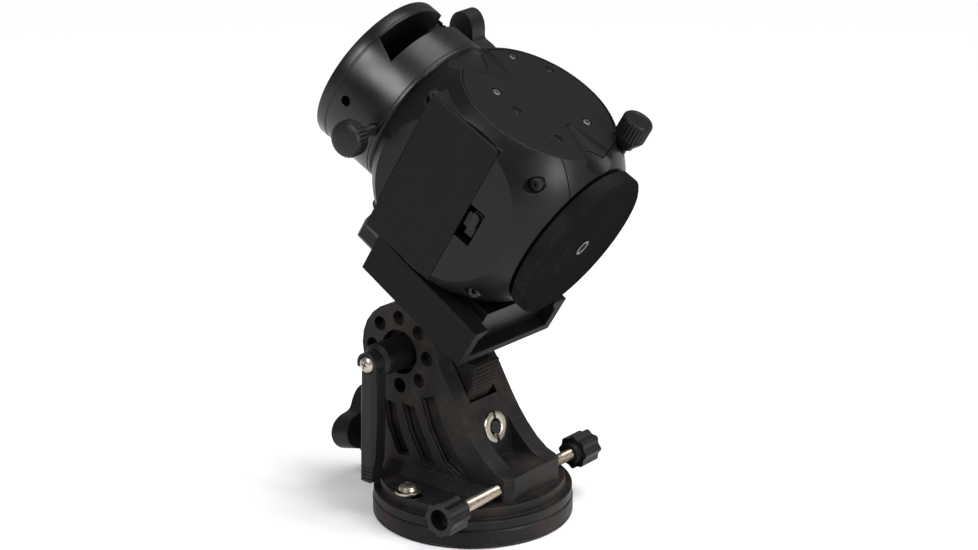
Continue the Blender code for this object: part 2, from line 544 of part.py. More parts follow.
# battery compartment
bm = bmesh.new()
box(bm, (-43.1, -8.7, -36.0), (-25.6, 24.7, 36.0))
tray = link("battery_holder", mesh_from("battery_holder", bm))
bm = bmesh.new()
box(bm, (-50, -7.3, -34.6), (-27.0, 7.3, 34.6))
box(bm, (-50, 8.6, -34.6), (-27.0, 23.3, 34.6))
boolean(tray, "bays", bm)
finish(tray, "plastic", HEAD_AT, head)
DOOR_AT = HEAD_AT @ shift(-FLAT_X, DOOR_Y1, 0)
door_axis = holder("battery_door_axis", DOOR_AT)
inv = shift(FLAT_X, -DOOR_Y1, 0)
bm = bmesh.new()
box(bm, (-FLAT_X, DOOR_Y0, -DOOR_Z), (-43.9, DOOR_Y1, DOOR_Z), inv)
door = link("battery_door", mesh_from("battery_door", bm))
bm = bmesh.new()
box(bm, (-50, DOOR_Y0 - 5, -4.6), (-40, DOOR_Y0 + 1.6, 5.2), inv)
boolean(door, "latch_notch", bm)
finish(door, "cover", DOOR_AT, door_axis)
latch_axis = holder("door_latch_axis", HEAD_AT @ shift(-43, -17, 0))
bm = bmesh.new()
box(bm, (-2.4, -3.2, -6.6), (1.4, 1.2, 6.6))
latch = link("door_latch", mesh_from("door_latch", bm))
bm = bmesh.new()
box(bm, (-1.6, 0.8, -3.6), (-0.9, 4.9, 4.2))
boolean(latch, "tongue", bm, "UNION")
finish(latch, "plastic", HEAD_AT @ shift(-43, -17, 0), latch_axis)

# polar drive
b = turned("polar_bearing", [(9.4, -41.8), (14.0, -41.8), (14.0, -44.3), (9.4, -44.3)], 18, closed=True)
finish(b, "steel", HEAD_AT, head)


def worm_piece(name, at, half, parent):
    prof = [(0, half + 6), (2.0, half + 6), (2.0, half)]
    n = 6
    for i in range(n):
        z = half - 2.0 * half * i / n
        prof += [(2.8, z), (4.2, z - 1.2)]
    prof += [(2.0, -half), (2.0, -half - 2), (0, -half - 2)]
    return finish(turned(name, prof, 10), "dark_steel", at, parent)


RW_AT = HEAD_AT @ shift(0, 24.2, -36.7) @ ALONG_X
worm_piece("polar_worm", RW_AT, 9.0, holder("polar_worm_axis", RW_AT))
DW_AT = HEAD_AT @ shift(0, -34.5, 24.2) @ ALONG_X
worm_piece("declination_worm", DW_AT, 9.0, holder("declination_worm_axis", DW_AT))
bm = bmesh.new()
rod(bm, 8.6, 6.0, 30.0, shift(0, 22.5, -20.5) @ ALONG_X, segs=16)
finish(link("polar_motor", mesh_from("polar_motor", bm)), "dark_steel", HEAD_AT, head)
bm = bmesh.new()
rod(bm, 8.6, -14.0, 12.0, shift(0, -12, 27.5) @ ALONG_X, segs=16)
finish(link("declination_motor", mesh_from("declination_motor", bm)), "dark_steel", HEAD_AT, head)
for name, y in (("declination_bearing_front", 41.5), ("declination_bearing_rear", -44.3)):
    b = turned(name, [(8.4, y + 2.5), (15.5, y + 2.5), (15.5, y), (8.4, y)], 18, closed=True)
    finish(b, "steel", HEAD_AT @ ALONG_Y, head)
bm = bmesh.new()
box(bm, (32.6, -20, -20), (34.2, 12, 24))
finish(link("control_board", mesh_from("control_board", bm)), "board", HEAD_AT, head)
bm = bmesh.new()
box(bm, (44.2, -18.0, -28.0), (45.6, 18.0, -8.0))
panel = link("port_panel", mesh_from("port_panel", bm))
bm = bmesh.new()
rod(bm, 3.6, 44.7, 50, shift(0, -11.5, -18) @ ALONG_X, segs=12)
box(bm, (44.7, -3.6, -23), (50, 4.6, -13))
rod(bm, 1.9, 44.7, 50, shift(0, 11.0, -18) @ ALONG_X, segs=10)
boolean(panel, "sockets", bm)
finish(panel, "plastic", HEAD_AT, head)
SW_AT = HEAD_AT @ shift(44.6, 0, 14)
switch_axis = holder("power_switch_axis", SW_AT)
bm = bmesh.new()
box(bm, (-0.4, -5.9, -5.7), (1.6, 5.9, 5.7))
finish(link("power_switch", mesh_from("power_switch", bm)), "plastic", SW_AT, switch_axis)
TH_AT = HEAD_AT @ shift(25, -37, 0)
thumb = turned("thumb_screw", [(0, 57.0), (6.9, 57.0), (7.5, 56.4), (7.5, 46.6), (4.4, 42.4), (4.4, 41.6), (2.5, 41.6), (2.5, 30.5), (0, 30.5)], 18)
finish(thumb, "satin", TH_AT, holder("thumb_screw_axis", TH_AT))

# --- declination assembly --------------------------------------------------------------------
dec = holder("declination_axis", HEAD_AT)
DEC_AT = HEAD_AT @ ALONG_Y
shaft = turned("declination_shaft", [(0, 49.8), (16.0, 49.8), (16.0, 44.8), (8.1, 44.8), (8.1, -44.6), (6.0, -44.6), (6.0, -51.2), (0, -51.2)], 20)
finish(shaft, "steel", DEC_AT, dec)
wheel = link("declination_worm_wheel", outline("declination_worm_wheel", gear_outline(36, 19.4, 17.6), -37.6, -31.6))
bm = bmesh.new()
rod(bm, 8.4, -50, -20, segs=18)
boolean(wheel, "bore", bm)
finish(wheel, "brass", DEC_AT, dec)
ring = turned("saddle_ring", [(0, RING_Y1), (RING_R - 0.6, RING_Y1), (RING_R, RING_Y1 - 0.6), (RING_R, RING_Y0 + 1.8), (RING_R - 1.6, RING_Y0),
                              (16.6, RING_Y0), (16.6, 50.2), (0, 50.2)], 48)
HEAD_TO_DEC = ALONG_Y.inverted()
bm = bmesh.new()
merge(outline("saddle_slot", [(-28.9, 62.5), (31.4, 62.5), (31.4, 90), (-21.2, 90)], -60, 60, Matrix(((1, 0, 0, 0), (0, 1, 0, 0), (0, 0, 1, 0), (0, 0, 0, 1)))), bm)
bmesh.ops.transform(bm, matrix=HEAD_TO_DEC, verts=bm.verts)
slot_tool = link("saddle_ring_slot_tool", mesh_from("saddle_ring_slot_tool", bm), cutter=True)
slot_tool.parent = ring
bm = bmesh.new()
merge(outline("end_stop", [(-33.0, 50.0), (-33.0, 9.0), (10.5, 9.0), (10.5, 24.9), (22.2, 24.9), (24.6, 50.0)], 75.0, 84.0,
              HEAD_TO_DEC @ Matrix(((1, 0, 0, 0), (0, 0, 1, 0), (0, 1, 0, 0), (0, 0, 0, 1)))), bm)
bmesh.ops.recalc_face_normals(bm, faces=bm.faces)
boolean(slot_tool, "end_stop", bm)
slot_cut = ring.modifiers.new("slot", "BOOLEAN")
slot_cut.operation, slot_cut.object, slot_cut.solver = "DIFFERENCE", slot_tool, "EXACT"
bm = bmesh.new()
rod(bm, 3.4, 30, 45, HEAD_TO_DEC @ shift(0, 68, 12) @ ALONG_X, segs=12)
rod(bm, 2.9, 32, 50, HEAD_TO_DEC @ shift(0, 49.7, 0) @ Matrix.Rotation(math.radians(-90), 4, "Y"), segs=12)
rod(bm, 2.6, 28, 50, HEAD_TO_DEC @ Matrix.Rotation(math.radians(2.2), 4, "Y") @ shift(0, 69.0, 0) @ Matrix.Rotation(math.radians(-90), 4, "Y"), segs=10)
boolean(ring, "bores", bm)
finish(ring, "satin", DEC_AT, dec)
JAW_AT = HEAD_AT @ shift(25, 68, 0)
jaw_axis = holder("saddle_jaw_axis", JAW_AT)
jaw = link("saddle_jaw", outline("saddle_jaw", [(-2.0, -5.2), (5.6, -5.2), (5.6, 13.7), (-7.0, 13.7)], -23.0, 23.0))
bm = bmesh.new()
rod(bm, 3.5, -0.5, 8, shift(0, 0, 12) @ ALONG_X, segs=12)
boolean(jaw, "socket", bm)
finish(jaw, "satin", JAW_AT, jaw_axis)
STAR_AT = HEAD_AT @ shift(0, 68, 12) @ ALONG_X
star_axis = holder("saddle_knob_axis", STAR_AT)
star = link("saddle_knob", outline("saddle_knob", lobes(3, 13.4, 5.0, 33, -90), 45.0, 56.0))
bm = bmesh.new()
rod(bm, 3.0, 25.2, 50.0, segs=12)
boolean(star, "thread", bm, "UNION")
bm = bmesh.new()
rod(bm, 7.0, 51.3, 60.0, segs=14)
boolean(star, "hollow", bm)
finish(star, "plastic", STAR_AT, star_axis)
PIN_AT = HEAD_AT @ shift(0, 49.7, 0) @ Matrix.Rotation(math.radians(-90), 4, "Y")
pin = turned("ring_lock_knob", [(0, 62.5), (7.6, 62.5), (8.7, 61.4), (8.7, 54.6), (7.6, 53.4), (2.5, 53.4), (2.5, 33.0), (0, 33.0)], 18)
finish(pin, "plastic", PIN_AT, holder("ring_lock_axis", PIN_AT))
disc_axis = holder("clutch_axis", DEC_AT)
disc = turned("clutch_disc", [(4.4, -51.6), (6.4, -51.6), (6.4, DISC_Y1), (DISC_R - 1.6, DISC_Y1), (DISC_R, DISC_Y1 - 1.4), (DISC_R, DISC_Y0 + 1.6),
                              (DISC_R - 1.6, DISC_Y0), (4.4, DISC_Y0)], 44, closed=True)
finish(disc, "satin", DEC_AT, disc_axis)
ins = turned("clutch_thread_insert", [(2.7, -52.4), (4.1, -52.4), (4.1, -53.9), (2.7, -53.9)], 14, closed=True)
finish(ins, "steel", DEC_AT, disc_axis)

bpy.context.view_layer.update()
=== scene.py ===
"""Look of the equatorial mount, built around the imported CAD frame.

Lengths are written in millimetres and scaled once by MM.  World frame: the foot stands on z = 0, -Y is the front.
Tilt frame: origin on the latitude pivot, x along +X, y up the channel, z along the polar axis.
Head frame: origin at the middle of the round head, y along the declination axis, z along the polar axis.
"""
import json
import math

import bmesh
import bpy
from mathutils import Matrix, Vector


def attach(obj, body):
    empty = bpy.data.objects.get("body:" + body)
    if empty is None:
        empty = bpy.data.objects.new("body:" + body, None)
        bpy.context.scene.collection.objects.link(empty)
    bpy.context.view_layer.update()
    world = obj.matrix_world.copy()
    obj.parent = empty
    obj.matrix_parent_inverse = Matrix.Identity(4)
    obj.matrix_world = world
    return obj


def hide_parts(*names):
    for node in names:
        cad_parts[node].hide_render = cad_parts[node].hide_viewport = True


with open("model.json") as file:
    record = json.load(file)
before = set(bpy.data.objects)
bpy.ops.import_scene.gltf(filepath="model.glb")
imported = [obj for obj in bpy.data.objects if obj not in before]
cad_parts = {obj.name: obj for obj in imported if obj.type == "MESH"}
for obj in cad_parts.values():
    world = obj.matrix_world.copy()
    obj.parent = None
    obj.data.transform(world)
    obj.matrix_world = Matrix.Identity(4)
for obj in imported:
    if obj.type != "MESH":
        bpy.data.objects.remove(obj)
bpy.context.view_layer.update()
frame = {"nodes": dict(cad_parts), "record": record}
MM = 0.001


BODY_OF = {n: b for b, ns in frame["record"]["behaviour"]["bodies"].items() for n in ns}
DETAIL = 3                       # how much finer the look is than the CAD facets

# --- driving dimensions, millimetres ---------------------------------------------------------
OX, OY = 6.863, 1.272            # shift that puts the middle of the whole object on the origin
FOOT_R, FOOT_H = 50.0, 9.1
FLANGE_R, FLANGE_TOP = 46.0, 18.9
CHEEK_X, SLOT_X = 20.8, 10.5
PIVOT_Y, PIVOT_Z = 29.3, 81.4
EAR_R, EAR_HOLE_CIRCLE, EAR_HOLE_R = 24.2, 17.3, 3.0
BLOCK_X, BLOCK_Y, BLOCK_Z = 17.5, -40.0, 31.3
AZ_Y, AZ_Z = -31.4, 23.8
AZ_KNOB_NEAR, AZ_KNOB_FAR = -63.5, 54.0
WORM_Y, WORM_Z, WORM_SLOPE = -14.1, 46.2, 13.07
GEAR_R, GEAR_TEETH = 39.4, 105
TILT = 32.04                 # channel above the horizontal at rest
CHAN_X, CHAN_D0, CHAN_D1, CHAN_R0, CHAN_R1 = 35.1, -37.3, 32.7, 32.5, 53.4
HEAD_D, HEAD_R, HEAD_TURN = 10.4, 102.5, 5.23
BODY_R, WALL = 59.6, 3.2
FLAT_X, FLAT_Z, FLAT_Y0, FLAT_Y1 = 45.7, 44.5, -44.5, 44.2
SEAM_X = -24.0
DOOR_Y0, DOOR_Y1, DOOR_Z = -12.4, 28.4, 39.2
RING_R, RING_Y0, RING_Y1 = 39.8, 44.6, 82.1
DISC_R, DISC_Y0, DISC_Y1 = 39.7, -54.1, -45.3
POST_Y, POST_Z = 31.5, 33.3
GAP = 0.3

# --- frames ----------------------------------------------------------------------------------
def shift(x, y, z):
    return Matrix.Translation(Vector((x, y, z)) * MM)


WORLD = shift(OX, OY, 0)
TILT_AT = WORLD @ shift(0, PIVOT_Y, PIVOT_Z) @ Matrix.Rotation(math.radians(TILT), 4, "X")
HEAD_AT = TILT_AT @ shift(0, HEAD_D, HEAD_R) @ Matrix.Rotation(math.radians(HEAD_TURN), 4, "Z")
ALONG_X = Matrix.Rotation(math.radians(90), 4, "Y")            # local z -> +X
ALONG_Y = Matrix.Rotation(math.radians(-90), 4, "X")           # local z -> +Y
WORM_AT = WORLD @ shift(0, WORM_Y, WORM_Z) @ Matrix.Rotation(math.radians(-90 - WORM_SLOPE), 4, "X")



def holder(name, at):
    return None


def link(name, mesh, cutter=False):
    obj = bpy.data.objects.new(name + ("_tool" if cutter else "_draft"), mesh)
    bpy.context.scene.collection.objects.link(obj)
    (TOOLS if cutter else DRAFTS).append(obj)
    obj["made_for"] = name
    return obj


TOOLS, DRAFTS, MADE = [], [], {}


def clear_drafts():
    for group in (DRAFTS, TOOLS):
        for obj in list(group):
            data = obj.data
            bpy.data.objects.remove(obj, do_unlink=True)
            if data.users == 0:
                bpy.data.meshes.remove(data)
        group.clear()


def baked(obj):
    bpy.context.view_layer.update()
    return bpy.data.meshes.new_from_object(obj.evaluated_get(bpy.context.evaluated_depsgraph_get()))


def finish(obj, look, at, parent=None, smooth=32):
    """Applies what the draft carries, puts the piece in its place on its body and lets it stand for its CAD node."""
    node = obj["made_for"]
    if node in HIDDEN_NODES:
        clear_drafts()
        return None
    mesh = baked(obj)
    clear_drafts()
    return place(node, mesh, look, at, node, smooth)


def place(name, mesh, look, at, node=None, smooth=32, body=None):
    mesh.transform(at)
    mesh.name = name
    mesh.materials.clear()
    mesh.materials.append(LOOK[look])
    mesh.shade_smooth()
    mesh.set_sharp_from_angle(angle=math.radians(smooth))
    piece = bpy.data.objects.new("look_" + name, mesh)
    bpy.context.scene.collection.objects.link(piece)
    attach(piece, body or BODY_OF[node])
    if node:
        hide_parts(node)
    MADE[name] = piece
    return piece


HIDDEN_NODES = {"polar_axle", "polar_worm_wheel", "polar_axle_nut", "polar_bearing", "polar_motor", "declination_motor",
                "declination_bearing_front", "declination_bearing_rear", "control_board", "polar_worm", "declination_worm",
                "declination_worm_wheel", "azimuth_peg", "tripod_thread_insert"}


def box(bm, lo, hi, at=Matrix()):
    lo, hi = Vector(lo) * MM, Vector(hi) * MM
    size = hi - lo
    made = bmesh.ops.create_cube(bm, size=1.0)
    bmesh.ops.transform(bm, matrix=at @ Matrix.Translation((lo + hi) / 2) @ Matrix.Diagonal((*size, 1)), verts=made["verts"])


def rod(bm, r, z0, z1, at=Matrix(), r1=None, segs=24, turn=0.0):
    """A cylinder or cone along the local z of at, from z0 to z1."""
    segs = segs * DETAIL if segs > 6 else segs
    m = at @ shift(0, 0, (z0 + z1) / 2) @ Matrix.Rotation(turn, 4, "Z")
    bmesh.ops.create_cone(bm, cap_ends=True, segments=segs, radius1=r * MM, radius2=(r if r1 is None else r1) * MM,
                          depth=(z1 - z0) * MM, matrix=m)


def mesh_from(name, bm):
    mesh = bpy.data.meshes.new(name)
    bm.normal_update()
    bm.to_mesh(mesh)
    bm.free()
    return mesh


def outline(name, points, z0, z1, at=Matrix()):
    """A flat outline extruded from z0 to z1, as a mesh in the frame of at."""
    curve = bpy.data.curves.new(name + "_outline", "CURVE")
    curve.dimensions = "2D"
    curve.fill_mode = "BOTH"
    curve.extrude = (z1 - z0) / 2 * MM
    spline = curve.splines.new("POLY")
    spline.points.add(len(points) - 1)
    for p, (u, v) in zip(spline.points, points):
        p.co = (u * MM, v * MM, 0, 1)
    spline.use_cyclic_u = True
    temp = bpy.data.objects.new(name + "_outline", curve)
    bpy.context.scene.collection.objects.link(temp)
    bpy.context.view_layer.update()
    mesh = bpy.data.meshes.new_from_object(temp.evaluated_get(bpy.context.evaluated_depsgraph_get()))
    bpy.data.objects.remove(temp, do_unlink=True)
    bm = bmesh.new()
    bm.from_mesh(mesh)
    bmesh.ops.remove_doubles(bm, verts=bm.verts, dist=1e-6)
    bmesh.ops.recalc_face_normals(bm, faces=bm.faces)
    bmesh.ops.transform(bm, matrix=at @ shift(0, 0, (z0 + z1) / 2), verts=bm.verts)
    bm.to_mesh(mesh)
    bm.free()
    mesh.name = name
    return mesh


def merge(mesh, bm):
    bm.from_mesh(mesh)
    bpy.data.meshes.remove(mesh)


def turned(name, profile, segs=32, closed=False):
    """A Screw of a profile of (radius, height), which runs down its outer side."""
    mesh = bpy.data.meshes.new(name)
    verts = [(r * MM, 0, z * MM) for r, z in profile]
    edges = [(i, i + 1) for i in range(len(verts) - 1)] + ([(len(verts) - 1, 0)] if closed else [])
    mesh.from_pydata(verts, edges, [])
    obj = link(name, mesh)
    screw = obj.modifiers.new("turn", "SCREW")
    screw.axis = "Z"
    screw.angle = math.radians(360)
    screw.steps = screw.render_steps = segs * DETAIL
    screw.use_merge_vertices = True
    screw.merge_threshold = 0.00001
    screw.use_smooth_shade = True
    return obj


def boolean(obj, name, bm, operation="DIFFERENCE", self_cut=False, solver="EXACT"):
    """Cuts, joins or keeps the overlap with another mesh, given in the object's own frame."""
    tool = link(obj.name + "_" + name, mesh_from(obj.name + "_" + name, bm), cutter=True)
    tool.parent = obj
    mod = obj.modifiers.new(name, "BOOLEAN")
    mod.operation = operation
    mod.object = tool
    mod.solver = solver
    mod.use_self = self_cut
    return mod


def arc(cx, cy, r, a0, a1, n):
    return [(cx + r * math.cos(math.radians(a0 + (a1 - a0) * i / n)), cy + r * math.sin(math.radians(a0 + (a1 - a0) * i / n)))
            for i in range(n + 1)]


def lobes(count, r_mid, depth, n, phase=0.0, power=1.0):
    out = []
    n = n * DETAIL
    for i in range(n):
        a = 2 * math.pi * i / n
        c = math.cos(count * (a - math.radians(phase)))
        out.append(((r_mid + depth * c) * math.cos(a), (r_mid + depth * c) * math.sin(a)))
    return out


def gear_outline(teeth, tip, root, a0=0.0, a1=360.0):
    """Tooth by tooth points from a0 to a1 degrees on a wheel of that many teeth a turn."""
    pitch = 360.0 / teeth
    out, a = [], a0
    while a < a1 - pitch * 0.5:
        for f, r in ((0.0, root), (0.5, tip)):
            t = math.radians(a + f * pitch)
            out.append((r * math.cos(t), r * math.sin(t)))
        a += pitch
    return out



# --- materials ---------------------------------------------------------------------------------
def surface(name, low, high, rough, rough_spread=0.06, metallic=0.0, grain=900.0, grain_depth=0.05, blotch=60.0, edge=None,
            edge_width=0.45, dust=None, dust_amount=0.5, brushed=None, specular=0.5, coat=0.0, coat_rough=0.25, anisotropy=0.0):
    """A node material: two tones mixed by noise, grain in the bump, lighter worn edges, dust lying on it."""
    mat = bpy.data.materials.new(name)
    mat.use_nodes = True
    nt = mat.node_tree
    bsdf = nt.nodes["Principled BSDF"]
    new = nt.nodes.new
    join = nt.links.new
    bsdf.inputs["Metallic"].default_value = metallic
    bsdf.inputs["Specular IOR Level"].default_value = specular
    bsdf.inputs["Coat Weight"].default_value = coat
    bsdf.inputs["Coat Roughness"].default_value = coat_rough
    bsdf.inputs["Anisotropic"].default_value = anisotropy
    coord = new("ShaderNodeTexCoord")
    where = coord.outputs["Object"]
    if brushed:
        stretch = new("ShaderNodeMapping")
        stretch.inputs["Scale"].default_value = brushed
        join(where, stretch.inputs["Vector"])
        grain_at = stretch.outputs["Vector"]
    else:
        grain_at = where
    big = new("ShaderNodeTexNoise")
    big.inputs["Scale"].default_value = blotch
    big.inputs["Detail"].default_value = 4.0
    join(where, big.inputs["Vector"])
    mix = new("ShaderNodeMix")
    mix.data_type = "RGBA"
    mix.inputs[6].default_value = (*low, 1.0)
    mix.inputs[7].default_value = (*high, 1.0)
    join(big.outputs["Fac"], mix.inputs[0])
    colour = mix.outputs[2]
    fine = new("ShaderNodeTexNoise")
    fine.inputs["Scale"].default_value = grain
    fine.inputs["Detail"].default_value = 3.0
    join(grain_at, fine.inputs["Vector"])
    spread = new("ShaderNodeMapRange")
    spread.inputs["From Min"].default_value = 0.3
    spread.inputs["From Max"].default_value = 0.7
    spread.inputs["To Min"].default_value = rough - rough_spread
    spread.inputs["To Max"].default_value = rough + rough_spread
    join(big.outputs["Fac"], spread.inputs["Value"])
    roughness = spread.outputs["Result"]
    bevel = new("ShaderNodeBevel")
    bevel.samples = 4
    bevel.inputs["Radius"].default_value = edge_width * MM
    if edge is not None:
        geo = new("ShaderNodeNewGeometry")
        dot = new("ShaderNodeVectorMath")
        dot.operation = "DOT_PRODUCT"
        join(bevel.outputs["Normal"], dot.inputs[0])
        join(geo.outputs["Normal"], dot.inputs[1])
        worn = new("ShaderNodeMapRange")
        worn.inputs["From Min"].default_value = 0.995
        worn.inputs["From Max"].default_value = 0.90
        worn.inputs["To Max"].default_value = 0.75
        join(dot.outputs["Value"], worn.inputs["Value"])
        patch = new("ShaderNodeMath")
        patch.operation = "MULTIPLY"
        join(worn.outputs["Result"], patch.inputs[0])
        patchy = new("ShaderNodeMapRange")
        patchy.inputs["From Min"].default_value = 0.35
        patchy.inputs["From Max"].default_value = 0.65
        join(big.outputs["Fac"], patchy.inputs["Value"])
        join(patchy.outputs["Result"], patch.inputs[1])
        wear = new("ShaderNodeMix")
        wear.data_type = "RGBA"
        wear.inputs[7].default_value = (*edge, 1.0)
        join(colour, wear.inputs[6])
        join(patch.outputs["Value"], wear.inputs[0])
        colour = wear.outputs[2]
    if dust is not None:
        settle = new("ShaderNodeTexNoise")
        settle.inputs["Scale"].default_value = 38.0
        settle.inputs["Detail"].default_value = 9.0
        settle.inputs["Roughness"].default_value = 0.72
        join(where, settle.inputs["Vector"])
        lay = new("ShaderNodeMapRange")
        lay.inputs["From Min"].default_value = 0.47
        lay.inputs["From Max"].default_value = 0.74
        lay.inputs["To Max"].default_value = dust_amount
        join(settle.outputs["Fac"], lay.inputs["Value"])
        film = new("ShaderNodeMix")
        film.data_type = "RGBA"
        film.inputs[7].default_value = (*dust, 1.0)
        join(colour, film.inputs[6])
        join(lay.outputs["Result"], film.inputs[0])
        colour = film.outputs[2]
        dull = new("ShaderNodeMath")
        dull.operation = "MULTIPLY_ADD"
        dull.inputs[1].default_value = 0.35
        join(lay.outputs["Result"], dull.inputs[0])
        join(roughness, dull.inputs[2])
        roughness = dull.outputs["Value"]
    join(colour, bsdf.inputs["Base Color"])
    join(roughness, bsdf.inputs["Roughness"])
    bump = new("ShaderNodeBump")
    bump.inputs["Strength"].default_value = grain_depth
    bump.inputs["Distance"].default_value = 0.0002
    join(fine.outputs["Fac"], bump.inputs["Height"])
    join(bevel.outputs["Normal"], bump.inputs["Normal"])
    join(bump.outputs["Normal"], bsdf.inputs["Normal"])
    return mat


LOOK = {
    "paint": surface("bracket_paint", (0.0052, 0.0052, 0.0060), (0.0105, 0.0103, 0.0112), 0.42, 0.08, grain=700, grain_depth=0.25, blotch=45,
                     edge=(0.055, 0.051, 0.048), edge_width=0.8, dust=(0.054, 0.034, 0.020), dust_amount=0.62, specular=0.13),
    "satin": surface("satin_black", (0.0030, 0.0026, 0.0031), (0.0055, 0.0049, 0.0058), 0.36, 0.05, grain=1400, grain_depth=0.14, blotch=70,
                     edge=(0.024, 0.022, 0.025), edge_width=0.5, specular=0.18),
    "ring": surface("anodised_black", (0.0028, 0.0025, 0.0030), (0.0050, 0.0046, 0.0054), 0.32, 0.05, grain=1100, grain_depth=0.10, blotch=60,
                    edge=(0.034, 0.032, 0.035), edge_width=0.5, specular=0.30, anisotropy=0.3),
    "disc": surface("disc_black", (0.0068, 0.0066, 0.0069), (0.0100, 0.0097, 0.0101), 0.50, 0.05, grain=1300, grain_depth=0.15, blotch=60,
                    edge=(0.034, 0.033, 0.035), edge_width=0.4, specular=0.0),
    "bar": surface("bar_black", (0.0050, 0.0049, 0.0050), (0.0078, 0.0076, 0.0078), 0.48, 0.05, grain=1300, grain_depth=0.15, blotch=60,
                   edge=(0.034, 0.033, 0.034), edge_width=0.5, specular=0.06),
    "thread": surface("threaded_steel", (0.33, 0.28, 0.22), (0.47, 0.41, 0.34), 0.30, 0.05, metallic=1.0, grain=900, grain_depth=0.03,
                      blotch=120, edge_width=0.03),
    "worn_steel": surface("worn_steel", (0.09, 0.085, 0.078), (0.17, 0.16, 0.15), 0.42, 0.06, metallic=1.0, grain=900, grain_depth=0.08,
                          blotch=120, edge_width=0.25),
    "plastic": surface("fine_matte_plastic", (0.0040, 0.0040, 0.0043), (0.0068, 0.0068, 0.0072), 0.42, 0.05, grain=1800, grain_depth=0.22,
                       blotch=90, edge=(0.022, 0.022, 0.023), edge_width=0.5, specular=0.22),
    "cover": surface("matte_cover", (0.0058, 0.0058, 0.0062), (0.0085, 0.0085, 0.0090), 0.60, 0.04, grain=2400, grain_depth=0.35, blotch=80,
                     edge=(0.024, 0.024, 0.026), edge_width=0.4, specular=0.08),
    "steel": surface("turned_steel", (0.33, 0.29, 0.24), (0.47, 0.43, 0.37), 0.30, 0.06, metallic=1.0, grain=900, grain_depth=0.06,
                     blotch=120, edge_width=0.25),
    "dark_steel": surface("oxide_black_steel", (0.016, 0.015, 0.014), (0.034, 0.032, 0.030), 0.38, 0.08, metallic=0.85, grain=1100,
                          grain_depth=0.12, blotch=110, edge=(0.10, 0.095, 0.09), edge_width=0.3),
    "brass": surface("machined_brass", (0.60, 0.43, 0.19), (0.74, 0.55, 0.27), 0.28, 0.06, metallic=1.0, grain=900, grain_depth=0.1,
                     blotch=90, edge_width=0.25),
    "board": surface("circuit_board", (0.010, 0.090, 0.035), (0.016, 0.130, 0.050), 0.42, 0.05, grain=300, grain_depth=0.3, blotch=260,
                     edge_width=0.2),
}
# --- foot ------------------------------------------------------------------------------------
root = holder("foot_origin", WORLD)
foot = turned("foot_disc", [(7.4, FOOT_H), (FOOT_R - 1.2, FOOT_H), (FOOT_R - 0.6, FOOT_H - 0.2), (FOOT_R - 0.15, FOOT_H - 0.7), (FOOT_R, FOOT_H - 1.3),
                            (FOOT_R, 2.0), (FOOT_R - 0.4, 1.6), (FOOT_R - 0.4, 1.2), (FOOT_R, 0.8), (FOOT_R - 0.2, 0.25), (FOOT_R - 0.8, 0),
                            (7.4, 0)], 40, closed=True)
bm = bmesh.new()
rod(bm, 4.3, 4.0, 12.0, shift(0, AZ_Y, 0), segs=20)
for sx in (-1, 1):
    rod(bm, 2.8, 3.0, 12.0, shift(sx * 39.3, 8.7, 0), segs=16)
boolean(foot, "holes", bm)
finish(foot, "paint", WORLD, root)
insert = turned("tripod_thread_insert", [(4.8, 8.8), (7.0, 8.8), (7.0, 0.5), (4.8, 0.5)], 16, closed=True)
finish(insert, "steel", WORLD, root)
bm = bmesh.new()
rod(bm, 4.0, 4.3, 28.2, shift(0, AZ_Y, 0), segs=20)
finish(link("azimuth_peg", mesh_from("azimuth_peg", bm)), "steel", WORLD, root)
for side, sx in (("near", -1), ("far", 1)):
    at = WORLD @ shift(sx * 39.3, 8.7, 0)
    screw = turned("azimuth_lock_screw_" + side, [(0, 23.6), (2.2, 23.4), (4.0, 22.2), (4.7, 20.5), (2.4, 20.5), (2.4, 3.4), (0, 3.4)], 12)
    bm = bmesh.new()
    rod(bm, 1.5, 21.6, 25.0, segs=6)
    boolean(screw, "socket", bm)
    finish(screw, "steel", at, root)
    washer = turned("azimuth_lock_washer_" + side, [(2.75, 20.2), (6.6, 20.2), (6.6, 19.2), (2.75, 19.2)], 16, closed=True)
    finish(washer, "steel", at, root)

# --- bracket casting -------------------------------------------------------------------------
bracket = holder("azimuth_axis", WORLD)


def swollen(points, by):
    """The outline moved outwards by a distance."""
    area = sum(a[0] * b[1] - b[0] * a[1] for a, b in zip(points, points[1:] + points[:1]))
    out = []
    for a, b, c in zip(points[-1:] + points[:-1], points, points[1:] + points[:1]):
        p, q = (Vector(b) - Vector(a)).normalized(), (Vector(c) - Vector(b)).normalized()
        n = Vector((p.y + q.y, -p.x - q.x)) * (1 if area > 0 else -1)
        n = n.normalized() * min(by / max(0.5, math.sqrt(max(0.0, (1 + p.dot(q)) / 2))), by * 1.6)
        out.append((b[0] + n.x, b[1] + n.y))
    return out

YZ = Matrix(((0, 0, 1, 0), (1, 0, 0, 0), (0, 1, 0, 0), (0, 0, 0, 1)))     # outline (u, v) -> (y, z), extrusion along x
ear = [(PIVOT_Y + EAR_R * math.cos(math.radians(a)), PIVOT_Z + EAR_R * math.sin(math.radians(a))) for a in range(180, -6, -15)]
side_line = ([(-36.0, FLANGE_TOP - 1), (-36.0, 31.0), (-30.5, 33.0), (-24.3, 37.6), (-18.2, 43.9), (-13.0, 50.6), (-8.2, 58.1), (-4.2, 65.0),
              (-0.7, 71.1), (3.2, 77.0)] + ear + [(51.5, 66.0), (48.0, 52.0), (45.0, 36.0), (41.0, FLANGE_TOP - 1)])
casting = link("bracket_casting", outline("bracket_casting", side_line, -CHEEK_X, CHEEK_X, YZ))
bm = bmesh.new()
rod(bm, FLANGE_R, FOOT_H + GAP, FLANGE_TOP, segs=40)
boolean(casting, "flange", bm, "UNION")
bm = bmesh.new()
rod(bm, FOOT_R - 0.5, FOOT_H + GAP, 13.6, segs=44)
